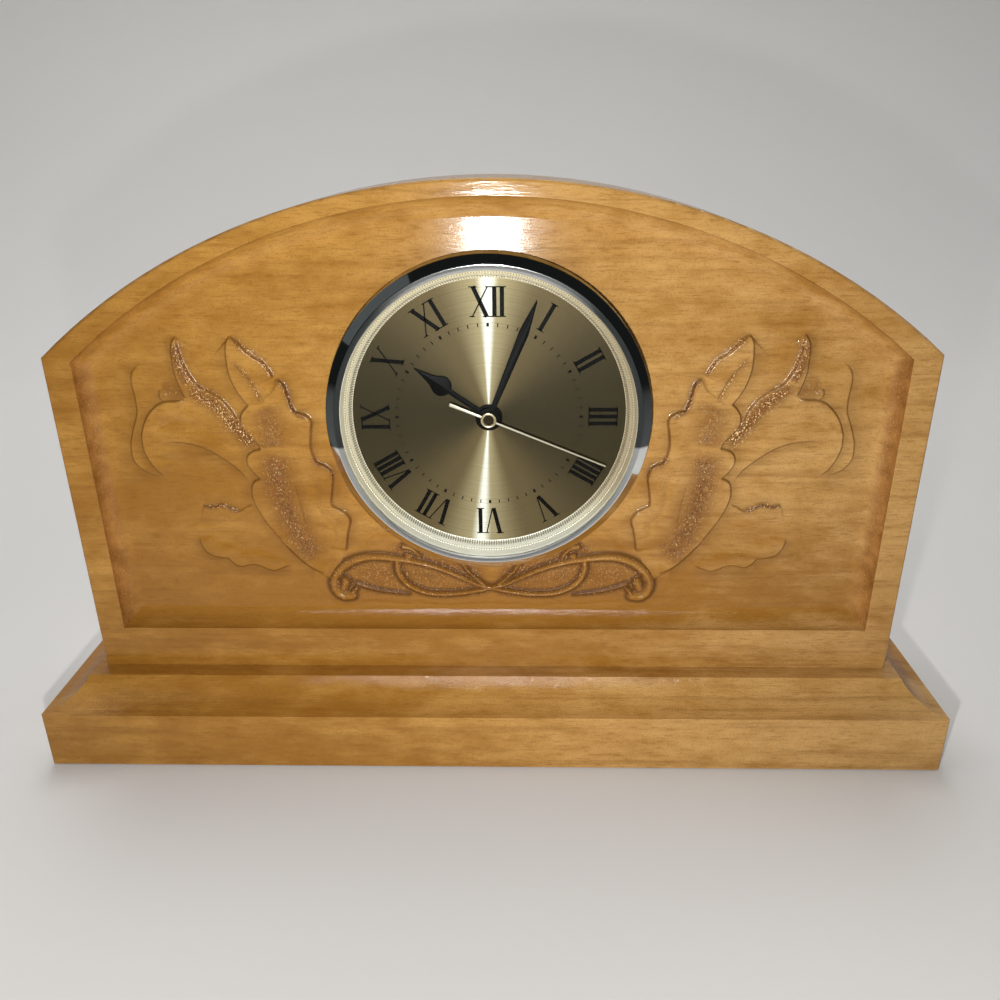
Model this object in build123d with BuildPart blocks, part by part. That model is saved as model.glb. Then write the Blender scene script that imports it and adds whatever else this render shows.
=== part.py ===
from build123d import *
import math
import os

# Wooden desk clock: a carved arched face board on a moulded base, with a quartz
# clock insert pressed into the board from the front. Millimetres, +Z up, the front
# faces -Y, and the origin is the middle of the base's underside.

# Fits
running = 0.05
press = 0.02
loose = 0.3

# Base
base_width = 285.0
base_band = 19.0
base_cove_run = 11.8
base_cove_drop = 7.4
base_cove_depth = 1.95
base_ledge = 6.0
base_round = 0.8

# Face board
board_width = 255.6
board_thickness = 24.0
board_shoulder = 103.0
board_height = 150.4
board_round = 0.8

# Recess in the face board, with a hollow moulding running round its floor
recess_depth = 6.0
recess_cove_radius = 5.8
rim_side = 8.4
rim_bottom = 14.0
rim_top = 4.4
rim_shoulder = 1.2
dial_rise = 0.6

# Wood screws that hold the face board on the base
screw_spacing = 160.0
screw_shank = 2.1
screw_head = 4.2
screw_sink = 0.6
screw_grip = 24.0

# Gear teeth, as shares of the module and of the tooth pitch
addendum = 0.75
dedendum = 1.05
tooth_root = 0.60
tooth_tip = 0.22

# Gear train: tooth counts and modules
rotor_teeth = 8
idler_teeth = 48
idler_pinion_teeth = 10
second_teeth = 50
second_pinion_teeth = 11
third_teeth = 66
third_pinion_teeth = 7
centre_teeth = 70
cannon_teeth = 15
motion_teeth = 45
motion_pinion_teeth = 12
hour_teeth = 48
rotor_module = 0.25
second_module = 0.33
train_module = 0.25
motion_module = 0.4

# Directions of the arbors round the dial axis, in degrees from +X
third_direction = 150.0
idler_direction = 60.0
rotor_direction = 130.0
motion_direction = 0.0

# Arbors and tubes
second_arbor = 0.5
minute_tube = 1.5
hour_tube = 2.5
train_arbor = 0.6
setting_arbor = 1.0
boss_wall = 0.9

# Movement case
case_wall = 1.5
case_corner = 4.0
front_plate = 1.3
train_plate_thick = 0.8
wheel_thick = 0.7
layer_gap = 0.4
plate_margin = 1.5
post_radius = 1.2
pin_radius = 0.7

# Motor
magnet_radius = 2.8
magnet_length = 2.8
stator_thick = 1.0
stator_gap = 0.5
stator_bridge = 0.9
stator_upright = 4.0
coil_radius = 3.2
coil_core = 2.4
coil_length = 16.0
bobbin_flange = 0.8
bobbin_wall = 0.5

# Battery and its contacts
battery_radius = 7.1
battery_body = 49.1
battery_nub = 1.4
battery_nub_radius = 2.6
contact_thick = 0.4
contact_stand_off = 0.9
contact_width = 9.0

# Circuit board
board_chip_radius = 2.2
board_chip_height = 1.0
crystal_radius = 0.95
crystal_length = 6.0
circuit_thick = 1.0
circuit_width = 11.0

# Clock insert in front of the movement
web = 1.6
pan_wall = 1.5
pan_depth = 9.0
pan_clearance = 1.3
pan_flange = 1.4
gasket_width = 6.0
gasket_thick = 0.7
bezel_land = 5.0
bezel_wall = 3.0
bezel_lip = 1.6
bezel_edge = 5.1
bezel_draft = 0.35
bezel_crest = 0.7
bezel_ease = 0.4
lens_thick = 1.2
dial_thick = 0.4
dial_to_lens = 4.8
ring_wall = 1.2
ring_width = 2.85
ring_steps = 4
dial_seat = 0.6

# Hands, with the angles at which they stand, clockwise from twelve
hand_thick = 0.4
hand_gap = 1.0
hand_hub = 4.0
hour_hand_length = 26.2
hour_spade_centre = 16.8
hour_spade = 3.0
hour_shaft = 1.5
minute_hand_margin = 3.75
minute_shoulder = 27.4
minute_shaft = 1.4
minute_widest = 2.9
minute_hub = 3.3
second_hand_margin = 2.75
second_tail = 12.3
second_width = 0.55
second_tail_width = 0.95
second_hub = 1.6
cap_radius = 2.35
cap_height = 0.5
hand_tip = 0.4
hour_angle = 304.8
minute_angle = 22.1
second_angle = 112.6

# Setting knob
knob_radius = 4.6
knob_length = 3.2
knob_ribs = 18
knob_rib_depth = 0.35

# Places that follow from the sizes above
base_height = base_band + base_cove_drop
base_depth = board_thickness + 2 * (base_cove_run + base_ledge)
board_front = -board_thickness / 2
floor_y = board_front + recess_depth
behind_floor = board_thickness - recess_depth

# Depths behind the recess floor, from the dial to the back of the movement
dial_face = -dial_thick
plate_front = web
plate_back = plate_front + front_plate
hour_front = plate_back + loose
hour_back = hour_front + wheel_thick
motion_front = hour_back + layer_gap
motion_back = motion_front + wheel_thick
bridge_front = motion_back + layer_gap
bridge_back = bridge_front + train_plate_thick
centre_front = bridge_back + layer_gap
centre_back = centre_front + wheel_thick
third_front = centre_back + layer_gap
third_back = third_front + wheel_thick
second_front = third_back + layer_gap
second_back = second_front + wheel_thick
idler_front = second_back + layer_gap
idler_back = idler_front + wheel_thick
magnet_front = idler_back + 2 * layer_gap
magnet_back = magnet_front + magnet_length
stator_front = (magnet_front + magnet_back - stator_thick) / 2
stator_back = stator_front + stator_thick
core_front = stator_front - stator_thick
coil_depth = stator_front - stator_thick / 2
battery_depth = plate_back + running + battery_radius
cover_inner = max(magnet_back + 2 * layer_gap, coil_depth + coil_radius + layer_gap)
cover_inner = max(cover_inner, battery_depth + battery_radius - case_wall + layer_gap)
cover_back = cover_inner + case_wall
pivot_end = cover_inner + case_wall / 2
tooth_side = 0.15


def polar(direction, distance, start=(0.0, 0.0)):
    """Point at a distance and direction from a start, in the plane of the dial."""
    angle = math.radians(direction)
    return (start[0] + distance * math.cos(angle), start[1] + distance * math.sin(angle))


def centre_distance(teeth, other_teeth, module):
    """Distance between the axes of two meshing gears."""
    return (teeth + other_teeth) * module / 2


def tip_radius(teeth, module):
    """Outside radius of a gear."""
    return (teeth / 2 + addendum) * module


def mesh_phase(teeth, phase, direction, other_teeth):
    """Phase of a second gear whose teeth sit in the first one's gaps, in degrees."""
    share = (direction - phase) / (360 / teeth)
    return direction + 180 + (share + 0.5) * 360 / other_teeth


def at_depth(depth, turn=0.0):
    """Plane square to the dial axis, behind the recess floor, turned clockwise by some degrees."""
    angle = math.radians(turn)
    right = (math.cos(angle), 0, -math.sin(angle))
    return Plane(origin=(0, floor_y + depth, dial_z), x_dir=right, z_dir=(0, -1, 0))


def gear_points(teeth, module, phase):
    """Corners of a straight-flanked gear outline about its own centre."""
    tip = tip_radius(teeth, module)
    root = (teeth / 2 - dedendum) * module
    pitch = 2 * math.pi / teeth
    points = []
    for tooth in range(teeth):
        middle = math.radians(phase) + tooth * pitch
        for radius, share in ((root, -tooth_root), (tip, -tooth_tip), (tip, tooth_tip), (root, tooth_root)):
            angle = middle + share * pitch / 2
            points.append((radius * math.cos(angle), radius * math.sin(angle)))
    return points


def add_gear(centre, teeth, module, phase, front, back):
    """Adds a toothed disc to the open part."""
    with BuildSketch(at_depth(back)) as outline:
        with BuildLine():
            Polyline(*[(centre[0] + x, centre[1] + y) for x, y in gear_points(teeth, module, phase)], close=True)
        make_face()
    extrude(outline.sketch, amount=back - front)


def add_disc(centre, radius, front, back, mode=Mode.ADD):
    """Adds a round boss or shaft to the open part, or cuts a round hole from it."""
    with BuildSketch(at_depth(back)) as outline:
        with Locations(centre):
            Circle(radius)
    extrude(outline.sketch, amount=back - front, mode=mode)


def add_bar(left, right, low, high, front, back, mode=Mode.ADD):
    """Adds a rectangular block to the open part, or cuts one from it."""
    with BuildSketch(at_depth(back)) as outline:
        with Locations(((left + right) / 2, (low + high) / 2)):
            Rectangle(right - left, high - low)
    extrude(outline.sketch, amount=back - front, mode=mode)


def add_turned(points):
    """Adds a ring or disc turned about the dial axis from (radius, depth) corners."""
    with BuildSketch(Plane(origin=(0, floor_y, dial_z), x_dir=(1, 0, 0), z_dir=(0, 0, 1))) as section:
        with BuildLine():
            Polyline(*points, close=True)
        make_face()
    revolve(section.sketch, axis=dial_axis)


def finish(builder, name):
    """Labels a finished piece and writes it out."""
    builder.part.label = name
    export_step(builder.part, f"parts/{name}.step")


os.makedirs("parts", exist_ok=True)
axis = (0.0, 0.0)

# Axes of the train
third_at = polar(third_direction, centre_distance(second_pinion_teeth, third_teeth, train_module))
idler_at = polar(idler_direction, centre_distance(second_teeth, idler_pinion_teeth, second_module))
rotor_at = polar(rotor_direction, centre_distance(rotor_teeth, idler_teeth, rotor_module), idler_at)
motion_at = polar(motion_direction, centre_distance(cannon_teeth, motion_teeth, motion_module))

# Phases, so that every pair of gears is in mesh at rest
third_phase = mesh_phase(second_pinion_teeth, 0.0, third_direction, third_teeth)
centre_phase = mesh_phase(third_pinion_teeth, 0.0, third_direction + 180, centre_teeth)
idler_pinion_phase = mesh_phase(second_teeth, 0.0, idler_direction, idler_pinion_teeth)
rotor_phase = mesh_phase(idler_teeth, 0.0, rotor_direction, rotor_teeth)
motion_phase = mesh_phase(cannon_teeth, 0.0, motion_direction, motion_teeth)
hour_phase = mesh_phase(motion_pinion_teeth, 0.0, motion_direction + 180, hour_teeth)

# Train plate outline, round every wheel that it covers
bridge_left = third_at[0] - tip_radius(third_teeth, train_module) - plate_margin
bridge_right = motion_at[0] + tip_radius(motion_teeth, motion_module) + plate_margin + 2 * post_radius
bridge_low = -tip_radius(hour_teeth, motion_module) - plate_margin
stator_low = rotor_at[1] - magnet_radius - stator_gap - stator_bridge
stator_high = rotor_at[1] + magnet_radius + stator_gap + stator_bridge
bridge_high = stator_high + plate_margin
bridge_posts = [
    (x, y)
    for x in (bridge_left + 2 * post_radius, bridge_right - 2 * post_radius)
    for y in (bridge_low + 2 * post_radius, bridge_high - 2 * post_radius)
]

# Motor: the coil lies above the rotor, on the stator's two uprights
coil_z = stator_high + layer_gap + coil_radius
stator_left = rotor_at[0] - coil_length / 2 - loose - stator_upright
stator_right = rotor_at[0] + coil_length / 2 + loose + stator_upright
stator_posts = [
    (stator_left + stator_upright / 2, stator_high - post_radius),
    (stator_right - stator_upright / 2, stator_high - post_radius),
]

# Movement case, sized by the battery below and the coil above
well_top = bridge_low - layer_gap
battery_z = well_top - case_wall - layer_gap - battery_radius
case_low = battery_z - battery_radius - 2 * layer_gap - case_wall
case_high = coil_z + coil_radius + layer_gap + case_wall
battery_span = battery_body + battery_nub
case_half = battery_span / 2 + running + contact_stand_off + case_wall
case_height = case_high - case_low
case_middle = (case_high + case_low) / 2
cover_post_inset = case_wall + 2 * post_radius + loose
cover_posts = [(side * (case_half - cover_post_inset), case_high - cover_post_inset) for side in (-1, 1)]
ear_at = case_half + 3 * post_radius
case_reach = math.hypot(case_half - case_corner, -case_low - case_corner) + case_corner

# Clock insert, built out from the movement's case
pan_inner = case_reach + pan_clearance
pan_outer = pan_inner + pan_wall
bore_radius = pan_outer + running + gasket_thick + running
bezel_radius = bore_radius + bezel_land
bezel_pocket = bezel_radius - bezel_wall
bezel_opening = bezel_pocket - bezel_lip
dial_radius = bezel_opening - ring_width
dial_disc = dial_radius + dial_seat
lens_back = dial_face - dial_to_lens
lens_front = lens_back - lens_thick
crest = lens_front - bezel_crest
boss_radius = hour_tube + running + boss_wall

# The insert's place in the recess: a share of the spare height lies below it
recess_height = board_height - rim_bottom - rim_top
spare_height = recess_height - 2 * bezel_radius
dial_z = base_height + rim_bottom + bezel_radius + dial_rise * spare_height
cove_radius = min(recess_cove_radius, (1 - dial_rise) * spare_height - running)

dial_axis = Axis((0, floor_y, dial_z), (0, 1, 0))

# Hands, stacked in front of the dial
hour_hand_back = dial_face - hand_gap + hand_thick
hour_hand_front = hour_hand_back - hand_thick
minute_hand_back = hour_hand_front - hand_gap
minute_hand_front = minute_hand_back - hand_thick
second_hand_back = minute_hand_front - hand_gap + hand_thick
second_hand_front = second_hand_back - hand_thick
minute_hand_length = dial_radius - minute_hand_margin
second_hand_length = dial_radius - second_hand_margin

# Face board: arched plank, coved recess, bore for the insert, pilot holes for the screws
front_face = Plane(origin=(0, board_front, base_height), x_dir=(1, 0, 0), z_dir=(0, -1, 0))
half_board = board_width / 2
half_recess = half_board - rim_side
recess_shoulder = board_shoulder - rim_shoulder
with BuildPart() as face_board:
    with BuildSketch(front_face):
        with BuildLine():
            Polyline((-half_board, board_shoulder), (-half_board, 0), (half_board, 0), (half_board, board_shoulder))
            ThreePointArc((half_board, board_shoulder), (0, board_height), (-half_board, board_shoulder))
        make_face()
    extrude(amount=-board_thickness)
    outline_edges = face_board.edges().filter_by(Axis.Y, reverse=True)
    fillet(outline_edges.filter_by_position(Axis.Z, base_height + base_round, dial_z + board_height), board_round)
    with BuildSketch(front_face):
        with BuildLine():
            Polyline(
                (-half_recess, recess_shoulder),
                (-half_recess, rim_bottom),
                (half_recess, rim_bottom),
                (half_recess, recess_shoulder),
            )
            ThreePointArc((half_recess, recess_shoulder), (0, board_height - rim_top), (-half_recess, recess_shoulder))
        make_face()
    extrude(amount=-recess_depth, mode=Mode.SUBTRACT)
    recess_floor = face_board.faces().filter_by(Axis.Y).filter_by_position(Axis.Y, floor_y - loose, floor_y + loose)
    fillet(recess_floor.edges(), cove_radius)
    add_disc(axis, bore_radius, 0, behind_floor, mode=Mode.SUBTRACT)
    with Locations(Plane(origin=(0, 0, base_height), x_dir=(1, 0, 0), z_dir=(0, 0, -1))):
        with GridLocations(screw_spacing, 1, 2, 1):
            Hole(screw_shank + press, depth=screw_grip + screw_shank)
finish(face_board, "face_board")

# Base: slab with a hollow moulding worked along all four top edges
cove_chord = math.hypot(base_cove_run, base_cove_drop)
cove_middle = (
    base_cove_run / 2 + base_cove_depth * base_cove_drop / cove_chord,
    base_band + base_cove_drop / 2 - base_cove_depth * base_cove_run / cove_chord,
)
half_width = base_width / 2
half_depth = base_depth / 2
cove_runs = [
    (Plane(origin=(-half_width, -half_depth, 0), x_dir=(0, 1, 0), z_dir=(1, 0, 0)), base_width),
    (Plane(origin=(half_width, half_depth, 0), x_dir=(0, -1, 0), z_dir=(-1, 0, 0)), base_width),
    (Plane(origin=(-half_width, half_depth, 0), x_dir=(1, 0, 0), z_dir=(0, -1, 0)), base_depth),
    (Plane(origin=(half_width, -half_depth, 0), x_dir=(-1, 0, 0), z_dir=(0, 1, 0)), base_depth),
]
with BuildPart() as base:
    Box(base_width, base_depth, base_height, align=(Align.CENTER, Align.CENTER, Align.MIN))
    for section_plane, run_length in cove_runs:
        with BuildSketch(section_plane):
            with BuildLine():
                ThreePointArc((0, base_band), cove_middle, (base_cove_run, base_height))
                Polyline(
                    (base_cove_run, base_height),
                    (base_cove_run, base_height + base_round),
                    (-base_round, base_height + base_round),
                    (-base_round, base_band),
                    (0, base_band),
                )
            make_face()
        extrude(amount=run_length, mode=Mode.SUBTRACT)
    fillet(base.edges().filter_by(Axis.Z), base_round)
    with Locations(Plane(origin=(0, 0, 0), x_dir=(1, 0, 0), z_dir=(0, 0, -1))):
        with GridLocations(screw_spacing, 1, 2, 1):
            CounterSinkHole(screw_shank + press, screw_head + screw_sink, depth=base_height, counter_sink_angle=90)
finish(base, "base")

# Wood screws, driven up through the base into the board
with BuildPart() as base_screws:
    for side in (-1, 1):
        screw_x = side * screw_spacing / 2
        shank_low = screw_sink + screw_head - screw_shank
        with BuildSketch(Plane(origin=(screw_x, 0, 0), x_dir=(1, 0, 0), z_dir=(0, -1, 0))):
            with BuildLine():
                Polyline(
                    (0, screw_sink),
                    (screw_head, screw_sink),
                    (screw_shank, shank_low),
                    (screw_shank, base_height + screw_grip - screw_shank),
                    (0, base_height + screw_grip),
                    close=True,
                )
            make_face()
        revolve(axis=Axis((screw_x, 0, 0), (0, 0, 1)))
finish(base_screws, "base_screws")

# Bezel: bevelled ring that rests on the recess floor and holds the lens under its lip
with BuildPart() as bezel:
    with BuildSketch(Plane(origin=(0, floor_y, dial_z), x_dir=(1, 0, 0), z_dir=(0, 0, 1))):
        with BuildLine():
            Line((bezel_pocket, 0), (bezel_radius, 0))
            Line((bezel_radius, 0), (bezel_radius - bezel_draft, -bezel_edge))
            Line((bezel_radius - bezel_draft, -bezel_edge), (bezel_pocket, crest))
            lip_middle = ((bezel_pocket + bezel_opening) / 2, crest + bezel_crest / 4 - running)
            ThreePointArc((bezel_pocket, crest), lip_middle, (bezel_opening, crest + bezel_crest / 2))
            Polyline(
                (bezel_opening, crest + bezel_crest / 2),
                (bezel_opening, lens_front),
                (bezel_pocket, lens_front),
                (bezel_pocket, 0),
            )
        make_face()
        eased_levels = (round(-bezel_edge, 3), round(crest, 3))
        fillet([corner for corner in vertices() if round(corner.Y, 3) in eased_levels], bezel_ease)
    revolve(axis=dial_axis)
finish(bezel, "bezel")

with BuildPart() as lens:
    add_disc(axis, bezel_pocket - 2 * running, lens_front, lens_back)
finish(lens, "lens")

# Reeded ring: stepped funnel from the lens down to the dial
ring_outer = bezel_pocket - loose
step_run = ring_width / (ring_steps - 1)
step_rise = dial_to_lens / ring_steps
with BuildPart() as reeded_ring:
    steps = [(bezel_opening, lens_back)]
    for step in range(ring_steps):
        steps.append((bezel_opening - step * step_run, lens_back + (step + 1) * step_rise))
        steps.append((bezel_opening - (step + 1) * step_run, lens_back + (step + 1) * step_rise))
    steps.pop()
    add_turned(
        [
            *steps,
            (dial_disc, dial_face),
            (dial_disc, -pan_flange),
            (ring_outer, -pan_flange),
            (ring_outer, lens_back),
        ]
    )
finish(reeded_ring, "reeded_ring")

with BuildPart() as dial:
    add_disc(axis, dial_disc, dial_face, 0)
    add_disc(axis, boss_radius + running, dial_face, 0, mode=Mode.SUBTRACT)
finish(dial, "dial")

# Dial pan: the insert's black body, with a flange on the recess floor
with BuildPart() as dial_pan:
    add_turned(
        [
            (boss_radius + running, 0),
            (dial_disc + press, 0),
            (dial_disc + press, -pan_flange),
            (bezel_pocket - loose, -pan_flange),
            (bezel_pocket - loose, 0),
            (pan_outer, 0),
            (pan_outer, pan_depth),
            (pan_inner, pan_depth),
            (pan_inner, web),
            (boss_radius + running, web),
        ]
    )
    for side in (-1, 1):
        add_disc((side * ear_at, 0), post_radius, web / 4, web, mode=Mode.SUBTRACT)
finish(dial_pan, "dial_pan")

with BuildPart() as gasket:
    gasket_front = (pan_depth - gasket_width) / 2 + running
    add_disc(axis, pan_outer + running + gasket_thick, gasket_front, gasket_front + gasket_width)
    add_disc(axis, pan_outer + running, gasket_front, gasket_front + gasket_width, mode=Mode.SUBTRACT)
finish(gasket, "gasket")

# Movement front plate, with its centre boss, ears and posts
with BuildPart() as movement_plate:
    with BuildSketch(at_depth(plate_back)):
        with Locations((0, case_middle)):
            RectangleRounded(2 * case_half, case_height, case_corner)
        SlotOverall(2 * (ear_at + 2 * post_radius), 4 * post_radius)
    extrude(amount=front_plate)
    add_disc(axis, boss_radius, dial_face - loose, plate_back)
    for post in bridge_posts:
        add_disc(post, post_radius, plate_back, bridge_front)
        add_disc(post, pin_radius, bridge_front, bridge_back)
    for post in cover_posts:
        add_disc(post, 2 * post_radius, plate_back, cover_inner)
        add_disc(post, post_radius, cover_inner - 4 * post_radius, cover_inner, mode=Mode.SUBTRACT)
    add_disc(axis, hour_tube + running, dial_face - loose, plate_back, mode=Mode.SUBTRACT)
    add_disc(motion_at, setting_arbor + running, plate_back - front_plate / 2, plate_back, mode=Mode.SUBTRACT)
    for side in (-1, 1):
        add_disc((side * ear_at, 0), post_radius, plate_front, plate_back, mode=Mode.SUBTRACT)
finish(movement_plate, "movement_plate")

# Self-tapping screws: two hold the movement to the pan, two close its cover
with BuildPart() as movement_screws:
    for side in (-1, 1):
        add_disc((side * ear_at, 0), post_radius - press, web / 4 + running, plate_back)
        add_disc((side * ear_at, 0), 2 * post_radius - running, plate_back, plate_back + post_radius)
finish(movement_screws, "movement_screws")

with BuildPart() as cover_screws:
    for post in cover_posts:
        add_disc(post, post_radius - press, cover_inner - 3 * post_radius, cover_back)
        add_disc(post, 2 * post_radius - running, cover_back, cover_back + post_radius)
finish(cover_screws, "cover_screws")

# Train plate: carries the front pivots of the train and the motor's stator
with BuildPart() as train_plate:
    with BuildSketch(at_depth(bridge_back)):
        with Locations(((bridge_left + bridge_right) / 2, (bridge_low + bridge_high) / 2)):
            RectangleRounded(bridge_right - bridge_left, bridge_high - bridge_low, 2 * post_radius)
    extrude(amount=train_plate_thick)
    for post in stator_posts:
        add_disc(post, post_radius, bridge_back, stator_front)
    add_disc(axis, minute_tube + running, bridge_front, bridge_back, mode=Mode.SUBTRACT)
    add_disc(motion_at, setting_arbor + running, bridge_front, bridge_back, mode=Mode.SUBTRACT)
    for pivot in (third_at, idler_at, rotor_at):
        add_disc(pivot, train_arbor + running, bridge_front, bridge_back, mode=Mode.SUBTRACT)
    for post in bridge_posts:
        add_disc(post, pin_radius + press, bridge_front, bridge_back, mode=Mode.SUBTRACT)
finish(train_plate, "train_plate")

# Back cover: moulded box with the battery well open to the rear
with BuildPart() as movement_cover:
    with BuildSketch(at_depth(cover_back)):
        with Locations((0, case_middle)):
            RectangleRounded(2 * case_half, case_height, case_corner)
    extrude(amount=cover_back - plate_back)
    with BuildSketch(at_depth(cover_inner)):
        with Locations((0, case_middle)):
            RectangleRounded(2 * (case_half - case_wall), case_height - 2 * case_wall, case_corner - case_wall)
    extrude(amount=cover_inner - plate_back, mode=Mode.SUBTRACT)
    inner_half = case_half - case_wall
    add_bar(-inner_half, inner_half, well_top - case_wall, well_top, plate_back, cover_inner)
    well_half = battery_span / 2 + running
    add_bar(-well_half, well_half, case_low + case_wall, well_top - case_wall, cover_inner, cover_back, mode=Mode.SUBTRACT)
    for post in cover_posts:
        add_disc(post, post_radius, cover_inner, cover_back, mode=Mode.SUBTRACT)
    add_disc(motion_at, setting_arbor + running, cover_inner, cover_back, mode=Mode.SUBTRACT)
    add_disc(axis, second_arbor + running, cover_inner, pivot_end + running, mode=Mode.SUBTRACT)
    for pivot in (third_at, idler_at, rotor_at):
        add_disc(pivot, train_arbor + running, cover_inner, pivot_end + running, mode=Mode.SUBTRACT)
finish(movement_cover, "movement_cover")

# Stepping motor: stator plate, coil core, bobbin and winding, magnet and rotor
coil_left = rotor_at[0] - coil_length / 2
coil_right = rotor_at[0] + coil_length / 2
core_low = coil_z - coil_core / 2
core_high = coil_z + coil_core / 2
with BuildPart() as stator:
    add_bar(stator_left, stator_right, stator_low, stator_high, stator_front, stator_back)
    add_bar(stator_left, stator_left + stator_upright, stator_low, core_high, stator_front, stator_back)
    add_bar(stator_right - stator_upright, stator_right, stator_low, core_high, stator_front, stator_back)
    add_disc(rotor_at, magnet_radius + stator_gap, stator_front, stator_back, mode=Mode.SUBTRACT)
    for side in (-1, 1):
        notch = (rotor_at[0] + side * (magnet_radius + stator_gap), rotor_at[1] + side * stator_gap)
        add_disc(notch, stator_gap, stator_front, stator_back, mode=Mode.SUBTRACT)
finish(stator, "stator")

with BuildPart() as coil_core_bar:
    add_bar(stator_left, stator_right, core_low, core_high, core_front, stator_front)
finish(coil_core_bar, "coil_core")

bobbin_radius = math.hypot(coil_core, stator_thick) / 2 + bobbin_wall
coil_axis_plane = Plane(origin=(coil_left, floor_y + coil_depth, dial_z + coil_z), x_dir=(0, 1, 0), z_dir=(1, 0, 0))
with BuildPart() as coil_bobbin:
    with BuildSketch(coil_axis_plane):
        Circle(bobbin_radius)
    extrude(amount=coil_length)
    for flange_at in (0, coil_length - bobbin_flange):
        with BuildSketch(coil_axis_plane.offset(flange_at)):
            Circle(coil_radius)
        extrude(amount=bobbin_flange)
    add_bar(coil_left, coil_right, core_low - press, core_high + press, core_front - press, stator_front + press, mode=Mode.SUBTRACT)
finish(coil_bobbin, "coil_bobbin")

with BuildPart() as coil_winding:
    with BuildSketch(coil_axis_plane.offset(bobbin_flange + press)):
        Circle(coil_radius - loose)
        Circle(bobbin_radius + press, mode=Mode.SUBTRACT)
    extrude(amount=coil_length - 2 * (bobbin_flange + press))
finish(coil_winding, "coil_winding")

with BuildPart() as rotor:
    add_disc(rotor_at, train_arbor, bridge_front, pivot_end)
    add_gear(rotor_at, rotor_teeth, rotor_module, rotor_phase, idler_front - tooth_side, idler_back + tooth_side)
finish(rotor, "rotor")

with BuildPart() as rotor_magnet:
    add_disc(rotor_at, magnet_radius, magnet_front, magnet_back)
    add_disc(rotor_at, train_arbor + press, magnet_front, magnet_back, mode=Mode.SUBTRACT)
finish(rotor_magnet, "rotor_magnet")

# Going train
with BuildPart() as idler_wheel:
    add_disc(idler_at, train_arbor, bridge_front, pivot_end)
    add_gear(idler_at, idler_teeth, rotor_module, 0.0, idler_front, idler_back)
    add_gear(
        idler_at,
        idler_pinion_teeth,
        second_module,
        idler_pinion_phase,
        second_front - tooth_side,
        second_back + tooth_side,
    )
finish(idler_wheel, "idler_wheel")

with BuildPart() as second_wheel:
    add_disc(axis, second_arbor, second_hand_front, pivot_end)
    add_gear(axis, second_teeth, second_module, 0.0, second_front, second_back)
    add_gear(axis, second_pinion_teeth, train_module, 0.0, third_front - tooth_side, third_back + tooth_side)
finish(second_wheel, "second_wheel")

with BuildPart() as third_wheel:
    add_disc(third_at, train_arbor, bridge_front, pivot_end)
    add_gear(third_at, third_teeth, train_module, third_phase, third_front, third_back)
    add_gear(third_at, third_pinion_teeth, train_module, 0.0, centre_front - tooth_side, centre_back + tooth_side)
finish(third_wheel, "third_wheel")

with BuildPart() as centre_wheel:
    add_gear(axis, centre_teeth, train_module, centre_phase, centre_front, centre_back)
    add_disc(axis, minute_tube + running, centre_front, centre_back, mode=Mode.SUBTRACT)
finish(centre_wheel, "centre_wheel")

# Motion works: cannon pinion on the minute tube, motion wheel on the setting arbor, hour wheel
with BuildPart() as minute_pinion:
    add_disc(axis, minute_tube, minute_hand_front, centre_back + tooth_side)
    add_gear(axis, cannon_teeth, motion_module, 0.0, motion_front - tooth_side, motion_back + tooth_side)
    add_disc(axis, second_arbor + running, minute_hand_front, centre_back + tooth_side, mode=Mode.SUBTRACT)
finish(minute_pinion, "minute_pinion")

with BuildPart() as motion_wheel:
    add_disc(motion_at, setting_arbor, plate_back - front_plate / 2 + running, cover_back + loose + knob_length / 2)
    add_gear(motion_at, motion_teeth, motion_module, motion_phase, motion_front, motion_back)
    add_gear(motion_at, motion_pinion_teeth, motion_module, 0.0, hour_front - tooth_side, motion_front)
finish(motion_wheel, "motion_wheel")

with BuildPart() as hour_wheel:
    add_disc(axis, hour_tube, hour_hand_front, hour_back)
    add_gear(axis, hour_teeth, motion_module, hour_phase, hour_front, hour_back)
    add_disc(axis, minute_tube + running, hour_hand_front, hour_back, mode=Mode.SUBTRACT)
finish(hour_wheel, "hour_wheel")

# Setting knob on the back, with ribs to grip
with BuildPart() as setting_knob:
    knob_front = cover_back + loose
    add_disc(motion_at, knob_radius, knob_front, knob_front + knob_length)
    chamfer(setting_knob.edges().filter_by(GeomType.CIRCLE).sort_by(Axis.Y)[-1], knob_rib_depth)
    with BuildSketch(at_depth(knob_front + knob_length)):
        with Locations(motion_at):
            with PolarLocations(knob_radius, knob_ribs):
                Circle(knob_rib_depth)
    extrude(amount=knob_length, mode=Mode.SUBTRACT)
    add_disc(motion_at, setting_arbor + press, knob_front, knob_front + knob_length / 2 + press, mode=Mode.SUBTRACT)
finish(setting_knob, "setting_knob")

# Battery and its two contacts
battery_left = -battery_span / 2
battery_end = Plane(origin=(battery_left, floor_y + battery_depth, dial_z + battery_z), x_dir=(0, 1, 0), z_dir=(1, 0, 0))
with BuildPart() as battery:
    with BuildSketch(battery_end):
        Circle(battery_radius)
    extrude(amount=battery_body)
    with BuildSketch(battery_end.offset(battery_body)):
        Circle(battery_nub_radius)
    extrude(amount=battery_nub)
finish(battery, "battery")

for name, side in (("contact_negative", -1), ("contact_positive", 1)):
    wall = side * (case_half - case_wall)
    end = side * (battery_span / 2 + running)
    with BuildPart() as contact:
        strip = sorted((wall, wall - side * contact_thick))
        add_bar(*strip, battery_z - contact_width / 2, battery_z + contact_width / 2, plate_back, cover_inner)
        with BuildSketch(Plane(origin=(end, floor_y + battery_depth, dial_z + battery_z), x_dir=(0, 1, 0), z_dir=(side, 0, 0))):
            Circle(battery_nub_radius)
        extrude(amount=contact_stand_off, taper=-20)
    finish(contact, name)

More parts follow.
